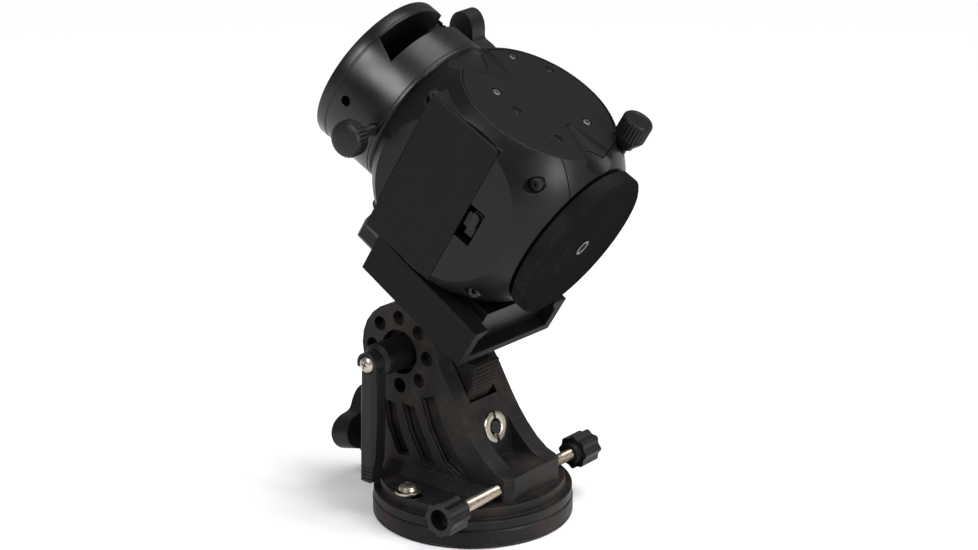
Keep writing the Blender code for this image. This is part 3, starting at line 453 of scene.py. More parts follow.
boolean(casting, "base_rim", bm, "UNION")
bm = bmesh.new()
box(bm, (-BLOCK_X, BLOCK_Y, FLANGE_TOP - 2), (BLOCK_X, -20.0, BLOCK_Z))
boolean(casting, "block", bm, "UNION")
bm = bmesh.new()
for sx in (-1, 1):
    wedge = [(sx * (BLOCK_X - 1), BLOCK_Y + 0.2), (sx * BLOCK_X, BLOCK_Y + 0.2), (sx * CHEEK_X, -35.8), (sx * CHEEK_X, -30.0), (sx * (BLOCK_X - 1), -30.0)]
    merge(outline("corner_wedge", wedge if sx > 0 else wedge[::-1], FLANGE_TOP - 1.5, 30.9), bm)
boolean(casting, "corner_wedges", bm, "UNION")
bm = bmesh.new()
merge(outline("plinth", [(-27.0, FLANGE_TOP - 1), (27.0, FLANGE_TOP - 1), (19.0, FLANGE_TOP + 7), (-19.0, FLANGE_TOP + 7)], -38.0, 30.0,
              Matrix(((1, 0, 0, 0), (0, 0, -1, 0), (0, 1, 0, 0), (0, 0, 0, 1)))), bm)
boolean(casting, "plinth", bm, "UNION")
bm = bmesh.new()
rod(bm, 42.2, -SLOT_X, SLOT_X, shift(0, PIVOT_Y, PIVOT_Z) @ ALONG_X, segs=36)
boolean(casting, "gear_slot", bm)
bm = bmesh.new()
merge(outline("front_slot", [(-50, BLOCK_Z + 0.2), (-17.6, BLOCK_Z + 0.2), (-12.2, 54.3), (-12.2, 112.0), (-50, 112.0)], -SLOT_X, SLOT_X, YZ), bm)
boolean(casting, "front_slot", bm)
bm = bmesh.new()
rod(bm, 7.0, -12.0, 80.0, WORLD.inverted() @ WORM_AT, segs=20)
boolean(casting, "worm_bore", bm)
bm = bmesh.new()
rod(bm, 7.1, -40, 40, shift(0, PIVOT_Y, PIVOT_Z) @ ALONG_X, segs=20)
boolean(casting, "pivot_bore", bm)
bm = bmesh.new()
for sx in (-1, 1):
    x0, x1 = sorted((sx * (CHEEK_X - 5.5), sx * (CHEEK_X + 3)))
    rod(bm, 11.2, x0, x1, shift(0, PIVOT_Y, PIVOT_Z) @ ALONG_X, segs=20)
    for k in range(8) if sx < 0 else ():
        a = math.radians(45 * k)
        rod(bm, EAR_HOLE_R + 0.8, x0, x1, shift(0, PIVOT_Y + EAR_HOLE_CIRCLE * math.cos(a), PIVOT_Z + EAR_HOLE_CIRCLE * math.sin(a)) @ ALONG_X, segs=8)
boolean(casting, "ear_holes", bm)
bm = bmesh.new()
box(bm, (-9.5, AZ_Y - 4.9, FOOT_H - 1), (9.5, AZ_Y + 4.9, 29.0))
box(bm, (-14, -12, FOOT_H - 1), (14, 34, 21.5))
for sx in (-1, 1):
    a = math.atan2(8.7, sx * 39.3)
    box(bm, (-3.6, -9.0, FOOT_H - 1), (3.6, 9.0, FLANGE_TOP + 2), shift(sx * 39.3, 8.7, 0) @ Matrix.Rotation(a, 4, "Z"))
boolean(casting, "underside", bm)
bm = bmesh.new()
rod(bm, 3.3, -40, 40, shift(0, AZ_Y, AZ_Z) @ ALONG_X, segs=14)
rod(bm, 9.4, 32.0, 60, shift(0, AZ_Y, AZ_Z) @ ALONG_X, segs=20)
boolean(casting, "screw_bore", bm, self_cut=True)
bm = bmesh.new()
for sx in (-1, 1):
    x0, x1 = sorted((sx * (CHEEK_X - 4.0), sx * (CHEEK_X + 4)))
    for base in (((8.5, 61.5), (13.5, 59.5), (9.0, 46.0), (0.0, 31.0), (-8.0, 26.8), (-13.5, 27.0), (-3.5, 37.5), (4.0, 50.0)),
                 ((21.0, 53.0), (25.5, 53.0), (22.0, 42.0), (14.5, 28.5), (8.5, 28.0), (15.5, 40.0)),
                 ((33.5, 52.0), (37.5, 52.5), (36.0, 42.0), (30.0, 29.5), (25.5, 29.5), (31.0, 40.0))):
        merge(outline("rib_groove", swollen(base, 1.2), x0, x1, YZ), bm)
boolean(casting, "rib_grooves", bm)
for step, (grow, sink) in enumerate(((2.0, 1.5),)):
    bm = bmesh.new()
    for sx in (-1, 1):
        x0, x1 = sorted((sx * (CHEEK_X - sink), sx * (CHEEK_X + 4)))
        for base in (((8.5, 61.5), (13.5, 59.5), (9.0, 46.0), (0.0, 31.0), (-8.0, 26.8), (-13.5, 27.0), (-3.5, 37.5), (4.0, 50.0)),
                     ((21.0, 53.0), (25.5, 53.0), (22.0, 42.0), (14.5, 28.5), (8.5, 28.0), (15.5, 40.0)),
                     ((33.5, 52.0), (37.5, 52.5), (36.0, 42.0), (30.0, 29.5), (25.5, 29.5), (31.0, 40.0))):
            merge(outline("rib_step", swollen(base, grow), x0, x1, YZ), bm)
    boolean(casting, "rib_step_%d" % step, bm)
finish(casting, "paint", WORLD, bracket)

# worm and its bushes
nut = turned("worm_front_nut", [(3.5, 7.0), (6.6, 7.0), (6.6, 0.6), (8.2, 0.6), (8.2, -0.3), (7.9, -0.8), (7.3, -1.0), (5.0, -1.0), (4.2, -0.6), (3.5, 0.6)], 18, closed=True)
bm = bmesh.new()
box(bm, (-1.1, -9, -3), (1.1, 9, 1.2))
boolean(nut, "spanner_slot", bm)
finish(nut, "steel", WORM_AT, bracket)
rear = turned("worm_rear_bush", [(3.5, 61.0), (6.6, 61.0), (6.6, 52.0), (3.5, 52.0)], 16, closed=True)
finish(rear, "brass", WORM_AT, bracket)
worm_axis = holder("worm_axis", WORM_AT)
profile = [(0, 86.0), (2.2, 86.0), (2.2, 70.0), (3.1, 70.0), (3.1, 45.5)]
for k in range(9):
    z = 45.0 - 2.36 * k
    profile += [(4.4, z - 0.8), (3.2, z - 1.9)]
profile += [(3.1, 22.5), (3.1, -0.6), (0, -0.6)]
worm = turned("worm_shaft", profile, 10)
finish(worm, "dark_steel", WORM_AT, worm_axis)
knob_mesh = bpy.data.meshes.new("latitude_knob")
bm = bmesh.new()
merge(outline("lobe_outline", lobes(3, 16.8, 5.0, 36, 180), 80.6, 91.8), bm)
bm.to_mesh(knob_mesh)
bm.free()
knob = link("latitude_knob", knob_mesh)
bm = bmesh.new()
rod(bm, 8.2, 71.0, 84.0, segs=16)
boolean(knob, "neck", bm, "UNION")
bm = bmesh.new()
rod(bm, 2.5, 60.0, 86.4, segs=14)
boolean(knob, "bore", bm)
finish(knob, "plastic", WORM_AT, worm_axis)

# pivot bolt and lock lever
at = WORLD @ shift(0, PIVOT_Y, PIVOT_Z) @ ALONG_X
bolt = turned("pivot_bolt", [(0, 25.0), (8.4, 25.0), (9.2, 24.2), (9.2, 15.6), (6.2, 15.6), (6.2, -29.0), (5.4, -30.0), (0, -30.0)], 20)
finish(bolt, "dark_steel", at, bracket)
lever_axis = holder("lever_axis", at)
lever = turned("lock_lever", [(6.5, -15.6), (8.3, -15.6), (8.3, -37.0), (6.0, -38.0), (6.0, -44.9), (4.7, -44.9), (4.7, -43.6), (2.3, -43.6),
                              (2.3, -31.0), (6.5, -31.0)], 20, closed=True)
bm = bmesh.new()
lean = Matrix.Rotation(math.radians(2.0), 4, "Z")
merge(outline("lever_arm", [(4.0, -4.4), (12.0, -4.9), (30.0, -5.1), (48.0, -4.7), (52.4, -4.3), (52.6, -3.8), (61.0, -3.5), (61.6, -3.0), (61.6, 3.0),
                            (61.0, 3.5), (52.6, 3.8), (52.4, 4.3), (48.0, 4.7), (30.0, 5.1), (12.0, 4.9), (4.0, 4.4)], -44.6, -36.2, lean), bm)
boolean(lever, "arm", bm, "UNION")
bm = bmesh.new()
for side in (-1, 1):
    box(bm, (2.0, -3.0, -3.0), (70.0, 3.0, 3.0), lean @ shift(0, side * 6.3, -45.6) @ Matrix.Rotation(math.radians(45), 4, "X"))
boolean(lever, "facets", bm, self_cut=True)
bm = bmesh.new()
for k in range(4):
    box(bm, (53.6 + k * 1.9, -6, -60), (54.2 + k * 1.9, 6, -44.1), lean)
boolean(lever, "grip_lines", bm, self_cut=True)
finish(lever, "plastic", at, lever_axis)
screw = turned("lever_screw", [(0, -33.0), (2.0, -33.0), (2.0, -43.9), (4.2, -43.9), (4.3, -44.2), (4.15, -44.9), (3.6, -45.6), (2.4, -46.3), (0, -46.6)], 14)
bm = bmesh.new()
for turn in (20, 110):
    box(bm, (-1.9, -0.36, -50), (1.9, 0.36, -45.0), Matrix.Rotation(math.radians(turn), 4, "Z"))
boolean(screw, "cross", bm, self_cut=True)
finish(screw, "steel", at, lever_axis)

# azimuth screws
for side, sx in (("near", -1), ("far", 1)):
    at = WORLD @ shift(0, AZ_Y, AZ_Z) @ (ALONG_X if sx > 0 else Matrix.Rotation(math.radians(-90), 4, "Y"))
    end = 63.5 if sx < 0 else 54.0
    slide = holder("azimuth_screw_axis_" + side, at)
    threads = [(0, end - 8.5), (2.45, end - 8.5)]
    z = end - 9.0
    while z > 7.0:
        threads += [(2.9, z), (2.9, z - 0.22), (2.45, z - 0.5), (2.45, z - 0.66)]
        z -= 1.0
    rod_piece = turned("azimuth_screw_" + side, threads + [(2.3, 6.0), (2.3, 4.7), (0, 4.7)], 12)
    finish(rod_piece, "thread", at, slide)
    spin = holder("azimuth_knob_axis_" + side, at)
    knob = link("azimuth_knob_" + side, outline("azimuth_knob_" + side, lobes(8, 8.0, 0.6, 32), end - 13.0, end))
    bm = bmesh.new()
    rod(bm, 5.4, end - 16.0, end - 12.0, segs=14)
    boolean(knob, "collar", bm, "UNION")
    bm = bmesh.new()
    rod(bm, 3.2, end - 17.0, end - 8.0, segs=12)
    rod(bm, 5.2, end - 6.5, end + 2, segs=14)
    boolean(knob, "bores", bm)
    finish(knob, "plastic", at, spin)

# --- tilting channel -------------------------------------------------------------------------
tilt = holder("latitude_axis", TILT_AT)
DR = Matrix(((0, 0, 1, 0), (1, 0, 0, 0), (0, 1, 0, 0), (0, 0, 0, 1)))       # outline (d, r), extrusion along x
start, span = 180.0 + 3.0 - TILT, 122.0
teeth = gear_outline(GEAR_TEETH, GEAR_R, GEAR_R - 1.7, start, start + span)
gear = link("latitude_gear", outline("latitude_gear", teeth + arc(0, 0, 12.0, start + span, start + 10, 8), -8.9, 8.9, DR))
bm = bmesh.new()
merge(outline("neck", [(-15.3, 3.1), (13.7, 3.3), (18, 29), (25, 29), (25, 32.2), (-27, 32.2), (-27, 29), (-19, 26)], -8.4, 8.4, DR), bm)
boolean(gear, "neck", bm, "UNION", solver="MANIFOLD")
bm = bmesh.new()
rod(bm, 13.2, -9.6, 9.6, ALONG_X, segs=22)
boolean(gear, "hub", bm, "UNION", solver="MANIFOLD")
bm = bmesh.new()
rod(bm, 6.5, -20, 20, ALONG_X, segs=18)
for d in (-16, 15):
    rod(bm, 2.6, 22.0, 40.0, shift(0, d, 0), segs=10)
boolean(gear, "bores", bm, solver="MANIFOLD")
finish(gear, "paint", TILT_AT, tilt)

bm = bmesh.new()
box(bm, (-CHAN_X, CHAN_D0, CHAN_R0), (CHAN_X, CHAN_D1, CHAN_R1))
channel = link("clamp_channel", mesh_from("clamp_channel", bm))
XR = Matrix(((1, 0, 0, 0), (0, 0, -1, 0), (0, 1, 0, 0), (0, 0, 0, 1)))      # outline (x, r), extrusion along -d
bm = bmesh.new()
merge(outline("groove", [(-30.0, 36.7), (30.0, 36.7), (30.0, 47.4), (26.0, 51.6), (26.0, 60), (-26.0, 60), (-26.0, 51.6), (-30.0, 47.4)],
              -50, 50, XR), bm)
boolean(channel, "groove", bm)
bm = bmesh.new()
for d in (-16, 15):
    rod(bm, 2.6, 28, 35, shift(0, d, 0), segs=10)
    rod(bm, 4.9, 33.8, 38, shift(0, d, 0), segs=14)
rod(bm, 2.9, 25, 40, shift(0, -3, 43) @ ALONG_X, segs=12)
boolean(channel, "bores", bm, self_cut=True)
finish(channel, "bar", TILT_AT, tilt)
for k, d in enumerate((-16, 15)):
    s = turned("channel_bolt_%d" % (k + 1), [(0, 36.4), (4.5, 36.4), (4.5, 34.2), (2.3, 34.2), (2.3, 22.6), (0, 22.6)], 10)
    bm = bmesh.new()
    rod(bm, 1.7, 34.9, 38, segs=6)
    boolean(s, "socket", bm)
    finish(s, "dark_steel", TILT_AT @ shift(0, d, 0), tilt)
at = TILT_AT @ shift(0, -3, 43) @ ALONG_X
clamp_axis = holder("clamp_axis", at)
ck = link("channel_clamp_knob", outline("channel_clamp_knob", lobes(8, 8.6, 0.7, 32), 38.0, 50.0))
bm = bmesh.new()
rod(bm, 2.5, 30.6, 42.0, segs=10)
boolean(ck, "thread", bm, "UNION")
finish(ck, "plastic", at, clamp_axis)

section = [(-26.6, 37.1), (26.6, 37.1), (29.4, 40.2), (29.4, 47.0), (25.4, 51.3), (22.5, 51.3), (22.5, 56.6), (-22.5, 56.6), (-22.5, 51.3),
           (-25.4, 51.3), (-29.4, 47.0), (-29.4, 40.2)]
plate = link("adapter_plate", outline("adapter_plate", section, -47.5, 31.3, XR))
bm = bmesh.new()
rod(bm, 9.4, 41.0, 60.0, shift(0, HEAD_D, 0), segs=20)
for sx in (-1, 1):
    box(bm, (-8, -8, 30), (8, 8, 60), shift(sx * 34.2, 52.3, 0) @ Matrix.Rotation(math.radians(45), 4, "Z"))
boolean(plate, "bore_and_corners", bm)
finish(plate, "satin", TILT_AT, tilt)
AXLE_AT = TILT_AT @ shift(0, HEAD_D, HEAD_R)
axle = turned("polar_axle", [(5.0, -20.0), (9.0, -20.0), (9.0, -61.0), (5.0, -61.0)], 20, closed=True)
finish(axle, "steel", AXLE_AT, tilt)
wheel = link("polar_worm_wheel", outline("polar_worm_wheel", gear_outline(36, 19.4, 17.6), -39.4, -34.0))
bm = bmesh.new()
rod(bm, 9.3, -50, -30, segs=18)
boolean(wheel, "bore", bm)
finish(wheel, "brass", AXLE_AT, tilt)
ring_nut = turned("polar_axle_nut", [(9.3, -26.0), (13.5, -26.0), (13.5, -31.0), (9.3, -31.0)], 16, closed=True)
finish(ring_nut, "steel", AXLE_AT, tilt)

# --- head body -------------------------------------------------------------------------------
head = holder("polar_axis", HEAD_AT)


def clipped_ball(bm, r, x0, x1, y0, y1, z0, z1, segs, rings):
    """A ball cut flat on six sides."""
    ball = bmesh.new()
    bmesh.ops.create_uvsphere(ball, u_segments=segs * DETAIL, v_segments=rings * DETAIL, radius=r * MM, matrix=Matrix.Rotation(math.radians(90), 4, "X"))
    for co, no in (((x0, 0, 0), (-1, 0, 0)), ((x1, 0, 0), (1, 0, 0)), ((0, y0, 0), (0, -1, 0)), ((0, y1, 0), (0, 1, 0)),
                   ((0, 0, z0), (0, 0, -1)), ((0, 0, z1), (0, 0, 1))):
        bmesh.ops.bisect_plane(ball, geom=ball.verts[:] + ball.edges[:] + ball.faces[:], plane_co=Vector(co) * MM, plane_no=no, clear_outer=True,
                               dist=1e-7)
        loose = [e for e in ball.edges if e.is_boundary]
        if loose:
            bmesh.ops.contextual_create(ball, geom=loose)
    bmesh.ops.recalc_face_normals(ball, faces=ball.faces)
    temp = mesh_from("ball", ball)
    merge(temp, bm)


def cavity(obj, x0, x1):
    bm = bmesh.new()
    clipped_ball(bm, BODY_R - WALL, x0, x1, FLAT_Y0 + 3, FLAT_Y1 - 3, -FLAT_Z + 3, FLAT_Z - 6.5, 24, 12)
    inner = link(obj.name + "_cavity", mesh_from(obj.name + "_cavity", bm), cutter=True)
    bm = bmesh.new()
    for sy in (-1, 1):
        for sz in (-1, 1):
            rod(bm, 5.4, -60, -14, shift(0, sy * POST_Y, sz * POST_Z) @ ALONG_X, segs=10)
    boolean(inner, "posts", bm)
    inner.parent = obj
    mod = obj.modifiers.new("cavity", "BOOLEAN")
    mod.operation, mod.object, mod.solver = "DIFFERENCE", inner, "EXACT"


def scoops():
    """Two shallow troughs that run off the top flat towards the ring and towards the clutch disc."""
    bm = bmesh.new()
    for tip, end, r0, r, flat in (((0.0, 16.5), (-9.0, 47.0), 2.0, 21.0, 0.34), ((2.2, -16.5), (-3.0, -46.5), 2.0, 13.0, 0.46)):
        run = Vector((end[0] - tip[0], end[1] - tip[1], 0))
        turn = Vector((0, 0, 1)).rotation_difference(run).to_matrix().to_4x4()
        at = shift(tip[0], tip[1], FLAT_Z + 0.2) @ Matrix.Diagonal((1, 1, flat, 1)) @ turn
        rod(bm, r0, 0, run.length, at, r1=r, segs=16)
    return bm


bm = bmesh.new()
clipped_ball(bm, BODY_R, SEAM_X + 0.15, FLAT_X, FLAT_Y0, FLAT_Y1, -FLAT_Z, FLAT_Z, 36, 18)
shell = link("head_casting", mesh_from("head_casting", bm))
cavity(shell, SEAM_X - 5, FLAT_X - 3)
bm = bmesh.new()
rod(bm, 38.8, 41.0, 50, segs=40)
rod(bm, 14.4, -60, -35, segs=20)
rod(bm, 16.2, -60, -30, ALONG_Y, segs=20)
rod(bm, 16.2, 30, 60, ALONG_Y, segs=20)
for sy in (-1, 1):
    for sz in (-1, 1):
        rod(bm, 1.8, -30, -15.5, shift(0, sy * POST_Y, sz * POST_Z) @ ALONG_X, segs=8)
box(bm, (44.0, -18.3, -28.3), (60, 18.3, -7.7))
box(bm, (43.0, -6.4, 7.6), (60, 6.4, 20.4))
rod(bm, 2.9, 30, 42, shift(25, -37, 0), segs=12)
rod(bm, 8.2, 41.2, 60, shift(25, -37, 0), segs=18)
boolean(shell, "openings", bm, self_cut=True)
bm = bmesh.new()
MARK_SCREWS = ((-17.3, 1.1), (29.0, 15.0), (-12.5, -21.1))
TOP_SCREWS = ((-16.4, 14.3), (16.7, 29.6), (14.6, -19.3))
for x, y in TOP_SCREWS:
    rod(bm, 1.5, 30, 42, shift(x, y, 0), segs=8)
rod(bm, 6.0, 30, 50, shift(0, 0, 0), segs=12)
boolean(shell, "top_holes", bm)
boolean(shell, "scoops", scoops())
finish(shell, "satin", HEAD_AT, head)

bm = bmesh.new()
clipped_ball(bm, BODY_R, -FLAT_X, SEAM_X - 0.15, FLAT_Y0, FLAT_Y1, -FLAT_Z, FLAT_Z, 36, 18)
side = link("side_casting", mesh_from("side_casting", bm))
bm = bmesh.new()
box(bm, (-43.6, DOOR_Y0 - 0.3, -DOOR_Z - 0.3), (SEAM_X - 0.15, DOOR_Y1 + 0.3, DOOR_Z + 0.3))
boolean(side, "battery_block", bm, "UNION")
cavity(side, -FLAT_X + 3, SEAM_X + 5)
bm = bmesh.new()
box(bm, (-50, DOOR_Y0 - 0.3, -DOOR_Z - 3), (-43.6, DOOR_Y1 + 0.3, DOOR_Z + 3))
boolean(side, "door_recess", bm)
bm = bmesh.new()
box(bm, (-50, -9.0, -36.4), (-20, 25.0, 36.4))
boolean(side, "battery_opening", bm)
bm = bmesh.new()
rod(bm, 38.8, 41.0, 50, segs=40)
box(bm, (-50, -21.6, -10), (-40, DOOR_Y0 + 1, 9))
for sy in (-1, 1):
    for sz in (-1, 1):
        rod(bm, 1.8, -40, -20, shift(0, sy * POST_Y, sz * POST_Z) @ ALONG_X, segs=8)
        rod(bm, 3.7, -60, -33.6, shift(0, sy * POST_Y, sz * POST_Z) @ ALONG_X, segs=12)
boolean(side, "openings", bm, self_cut=True)
finish(side, "satin", HEAD_AT, head)
k = 0
for sy in (-1, 1):
    for sz in (-1, 1):
        k += 1
        s = turned("side_casting_screw_%d" % k, [(0, -16.5), (1.5, -16.5), (1.5, -33.9), (3.1, -33.9), (3.1, -36.6), (0, -36.6)], 8)
        bm = bmesh.new()
        rod(bm, 1.5, -40, -35.0, segs=6)
        boolean(s, "socket", bm)
        finish(s, "dark_steel", HEAD_AT @ shift(0, sy * POST_Y, sz * POST_Z) @ ALONG_X, head)

cover = turned("top_cover", [(0, FLAT_Z), (38.0, FLAT_Z), (38.4, 44.1), (38.4, 41.3), (0, 41.3)], 40)
bm = bmesh.new()
for x, y in TOP_SCREWS:
    rod(bm, 2.5, 43.0, 50, shift(x, y, 0), segs=10)
    rod(bm, 1.5, 38, 43.5, shift(x, y, 0), segs=8)
for x, y in MARK_SCREWS:
    rod(bm, 2.1, 43.6, 50, shift(x, y, 0), segs=10)
boolean(cover, "holes", bm, self_cut=True)
bm = bmesh.new()
merge(outline("ring_mark", arc(0, 0, 3.7, 0, 360, 48)[:-1], 44.25, 46, shift(-22.4, -19.5, 0)), bm)
boolean(cover, "mark", bm)
bm = bmesh.new()
merge(outline("ring_mark_core", arc(0, 0, 3.25, 0, 360, 48)[:-1], 44.1, FLAT_Z - 0.02, shift(-22.4, -19.5, 0)), bm)
boolean(cover, "mark_core", bm, "UNION")
boolean(cover, "scoops", scoops())
finish(cover, "cover", HEAD_AT, head, smooth=28)
for k, (x, y) in enumerate(MARK_SCREWS):
    s = turned("top_mark_screw_%d" % (k + 1), [(0, 44.35), (1.5, 44.3), (1.75, 44.0), (1.75, 42.0), (0, 42.0)], 8)
    bm = bmesh.new()
    rod(bm, 0.8, 43.5, 46, segs=6)
    boolean(s, "socket", bm)
    mesh = baked(s)
    clear_drafts()
    place("top_mark_screw_%d" % (k + 1), mesh, "dark_steel", HEAD_AT @ shift(x, y, 0), body="head")
for k, (x, y) in enumerate(TOP_SCREWS):
    s = turned("top_cover_screw_%d" % (k + 1), [(0, 44.5), (1.7, 44.4), (2.1, 44.1), (2.2, 43.3), (1.2, 43.3), (1.2, 36.5), (0, 36.5)], 8)
    bm = bmesh.new()
    rod(bm, 1.0, 43.6, 46, segs=6)
    boolean(s, "socket", bm)
    finish(s, "worn_steel", HEAD_AT @ shift(x, y, 0), head)

# battery compartment
bm = bmesh.new()
box(bm, (-43.1, -8.7, -36.0), (-25.6, 24.7, 36.0))
tray = link("battery_holder", mesh_from("battery_holder", bm))
bm = bmesh.new()
box(bm, (-50, -7.3, -34.6), (-27.0, 7.3, 34.6))
box(bm, (-50, 8.6, -34.6), (-27.0, 23.3, 34.6))
boolean(tray, "bays", bm)
finish(tray, "plastic", HEAD_AT, head)
DOOR_AT = HEAD_AT @ shift(-FLAT_X, DOOR_Y1, 0)
door_axis = holder("battery_door_axis", DOOR_AT)
inv = shift(FLAT_X, -DOOR_Y1, 0)
bm = bmesh.new()
box(bm, (-FLAT_X, DOOR_Y0, -DOOR_Z), (-43.9, DOOR_Y1, DOOR_Z), inv)
door = link("battery_door", mesh_from("battery_door", bm))
bm = bmesh.new()
box(bm, (-43.95, DOOR_Y0 - 5, -4.6), (-40, DOOR_Y0 + 1.6, 5.2), inv)
boolean(door, "latch_notch", bm)
bm = bmesh.new()
corner = [(DOOR_Y0 - 1, DOOR_Z + 1), (DOOR_Y0 - 1, DOOR_Z - 3)] + [(DOOR_Y0 + 3.2 + 3.2 * math.cos(math.radians(a)), DOOR_Z - 3.2 + 3.2 * math.sin(math.radians(a)))
          for a in range(180, 89, -10)] + [(DOOR_Y0 + 4, DOOR_Z + 1)]
merge(outline("door_corner", corner, -50, -40, inv @ Matrix(((0, 0, 1, 0), (1, 0, 0, 0), (0, 1, 0, 0), (0, 0, 0, 1)))), bm)
boolean(door, "corner", bm)
finish(door, "cover", DOOR_AT, door_axis)
latch_axis = holder("door_latch_axis", HEAD_AT @ shift(-43, -17, 0))
bm = bmesh.new()
box(bm, (-0.6, -3.2, -6.6), (1.4, 1.2, 6.6))
latch = link("door_latch", mesh_from("door_latch", bm))
bm = bmesh.new()
tab = [(0.9, -2.4), (0.9, 6.3)] + [(-0.9 - 2.1 * math.sin(math.radians(a)), 4.2 + 2.1 * math.cos(math.radians(a))) for a in range(0, 91, 15)] + \
      [(-0.9 - 2.1 * math.cos(math.radians(a)), -0.3 - 2.1 * math.sin(math.radians(a))) for a in range(0, 91, 15)]
merge(outline("latch_tab", tab, -2.3, -0.2, Matrix(((0, 0, 1, 0), (1, 0, 0, 0), (0, 1, 0, 0), (0, 0, 0, 1)))), bm)
boolean(latch, "tab", bm, "UNION")
bm = bmesh.new()
box(bm, (-0.5, 0.8, -3.6), (0.3, 3.9, 4.2))
boolean(latch, "tongue", bm, "UNION")
finish(latch, "plastic", HEAD_AT @ shift(-43, -17, 0), latch_axis)

# polar drive
b = turned("polar_bearing", [(9.4, -41.8), (14.0, -41.8), (14.0, -44.3), (9.4, -44.3)], 18, closed=True)
finish(b, "steel", HEAD_AT, head)


def worm_piece(name, at, half, parent):
    prof = [(0, half + 6), (2.0, half + 6), (2.0, half)]
    n = 6
    for i in range(n):
        z = half - 2.0 * half * i / n
        prof += [(2.8, z), (4.2, z - 1.2)]
    prof += [(2.0, -half), (2.0, -half - 2), (0, -half - 2)]
    return finish(turned(name, prof, 10), "dark_steel", at, parent)


RW_AT = HEAD_AT @ shift(0, 24.2, -36.7) @ ALONG_X
worm_piece("polar_worm", RW_AT, 9.0, holder("polar_worm_axis", RW_AT))
DW_AT = HEAD_AT @ shift(0, -34.5, 24.2) @ ALONG_X
worm_piece("declination_worm", DW_AT, 9.0, holder("declination_worm_axis", DW_AT))
bm = bmesh.new()
rod(bm, 8.6, 6.0, 30.0, shift(0, 22.5, -20.5) @ ALONG_X, segs=16)
finish(link("polar_motor", mesh_from("polar_motor", bm)), "dark_steel", HEAD_AT, head)
bm = bmesh.new()
rod(bm, 8.6, -14.0, 12.0, shift(0, -12, 27.5) @ ALONG_X, segs=16)
finish(link("declination_motor", mesh_from("declination_motor", bm)), "dark_steel", HEAD_AT, head)
for name, y in (("declination_bearing_front", 41.5), ("declination_bearing_rear", -44.3)):
    b = turned(name, [(8.4, y + 2.5), (15.5, y + 2.5), (15.5, y), (8.4, y)], 18, closed=True)
    finish(b, "steel", HEAD_AT @ ALONG_Y, head)
bm = bmesh.new()
box(bm, (32.6, -20, -20), (34.2, 12, 24))
finish(link("control_board", mesh_from("control_board", bm)), "board", HEAD_AT, head)
bm = bmesh.new()
box(bm, (44.2, -18.0, -28.0), (45.6, 18.0, -8.0))
panel = link("port_panel", mesh_from("port_panel", bm))
bm = bmesh.new()
rod(bm, 3.6, 44.7, 50, shift(0, -11.5, -18) @ ALONG_X, segs=12)
box(bm, (44.7, -3.6, -23), (50, 4.6, -13))
rod(bm, 1.9, 44.7, 50, shift(0, 11.0, -18) @ ALONG_X, segs=10)
boolean(panel, "sockets", bm)
finish(panel, "plastic", HEAD_AT, head)
SW_AT = HEAD_AT @ shift(44.6, 0, 14)
switch_axis = holder("power_switch_axis", SW_AT)
bm = bmesh.new()
box(bm, (-0.4, -5.9, -5.7), (1.6, 5.9, 5.7))
finish(link("power_switch", mesh_from("power_switch", bm)), "plastic", SW_AT, switch_axis)
TH_AT = HEAD_AT @ shift(25, -37, 0)
thumb = turned("thumb_screw", [(0, 56.6), (5.2, 56.6), (5.6, 57.0), (6.7, 57.0), (7.1, 56.6), (7.1, 46.9), (6.9, 46.4), (4.4, 42.4), (4.4, 41.6), (2.5, 41.6), (2.5, 30.5), (0, 30.5)], 18)
bm = bmesh.new()
merge(outline("ridges", lobes(26, 7.25, 0.24, 104), 47.2, 56.2), bm)
boolean(thumb, "ridges", bm, "UNION")
finish(thumb, "satin", TH_AT, holder("thumb_screw_axis", TH_AT))

# --- declination assembly --------------------------------------------------------------------
dec = holder("declination_axis", HEAD_AT)
DEC_AT = HEAD_AT @ ALONG_Y
shaft = turned("declination_shaft", [(0, 49.8), (16.0, 49.8), (16.0, 44.8), (8.1, 44.8), (8.1, -44.6), (6.0, -44.6), (6.0, -51.2), (0, -51.2)], 20)
finish(shaft, "steel", DEC_AT, dec)
wheel = link("declination_worm_wheel", outline("declination_worm_wheel", gear_outline(36, 19.4, 17.6), -37.6, -31.6))
bm = bmesh.new()
rod(bm, 8.4, -50, -20, segs=18)
boolean(wheel, "bore", bm)
finish(wheel, "brass", DEC_AT, dec)
ring = turned("saddle_ring", [(0, RING_Y1), (RING_R - 0.7, RING_Y1), (RING_R - 0.2, RING_Y1 - 0.25), (RING_R, RING_Y1 - 0.7), (RING_R, RING_Y1 - 5.6),
                              (RING_R - 0.45, RING_Y1 - 5.9), (RING_R - 0.45, RING_Y1 - 6.5), (RING_R - 0.12, RING_Y1 - 6.8), (RING_R - 0.12, RING_Y0 + 3.6),
                              (RING_R - 0.5, RING_Y0 + 3.4), (RING_R - 0.5, RING_Y0 + 2.9), (RING_R - 0.12, RING_Y0 + 2.7), (RING_R - 0.12, RING_Y0 + 1.8),
                              (RING_R - 1.6, RING_Y0),
                              (16.6, RING_Y0), (16.6, 50.2), (0, 50.2)], 48)
HEAD_TO_DEC = ALONG_Y.inverted()
bm = bmesh.new()
merge(outline("saddle_slot", [(-28.9, 62.5), (31.4, 62.5), (31.4, 90), (-21.2, 90)], -60, 60, Matrix(((1, 0, 0, 0), (0, 1, 0, 0), (0, 0, 1, 0), (0, 0, 0, 1)))), bm)
bmesh.ops.transform(bm, matrix=HEAD_TO_DEC, verts=bm.verts)
slot_tool = link("saddle_ring_slot_tool", mesh_from("saddle_ring_slot_tool", bm), cutter=True)
slot_tool.parent = ring
bm = bmesh.new()
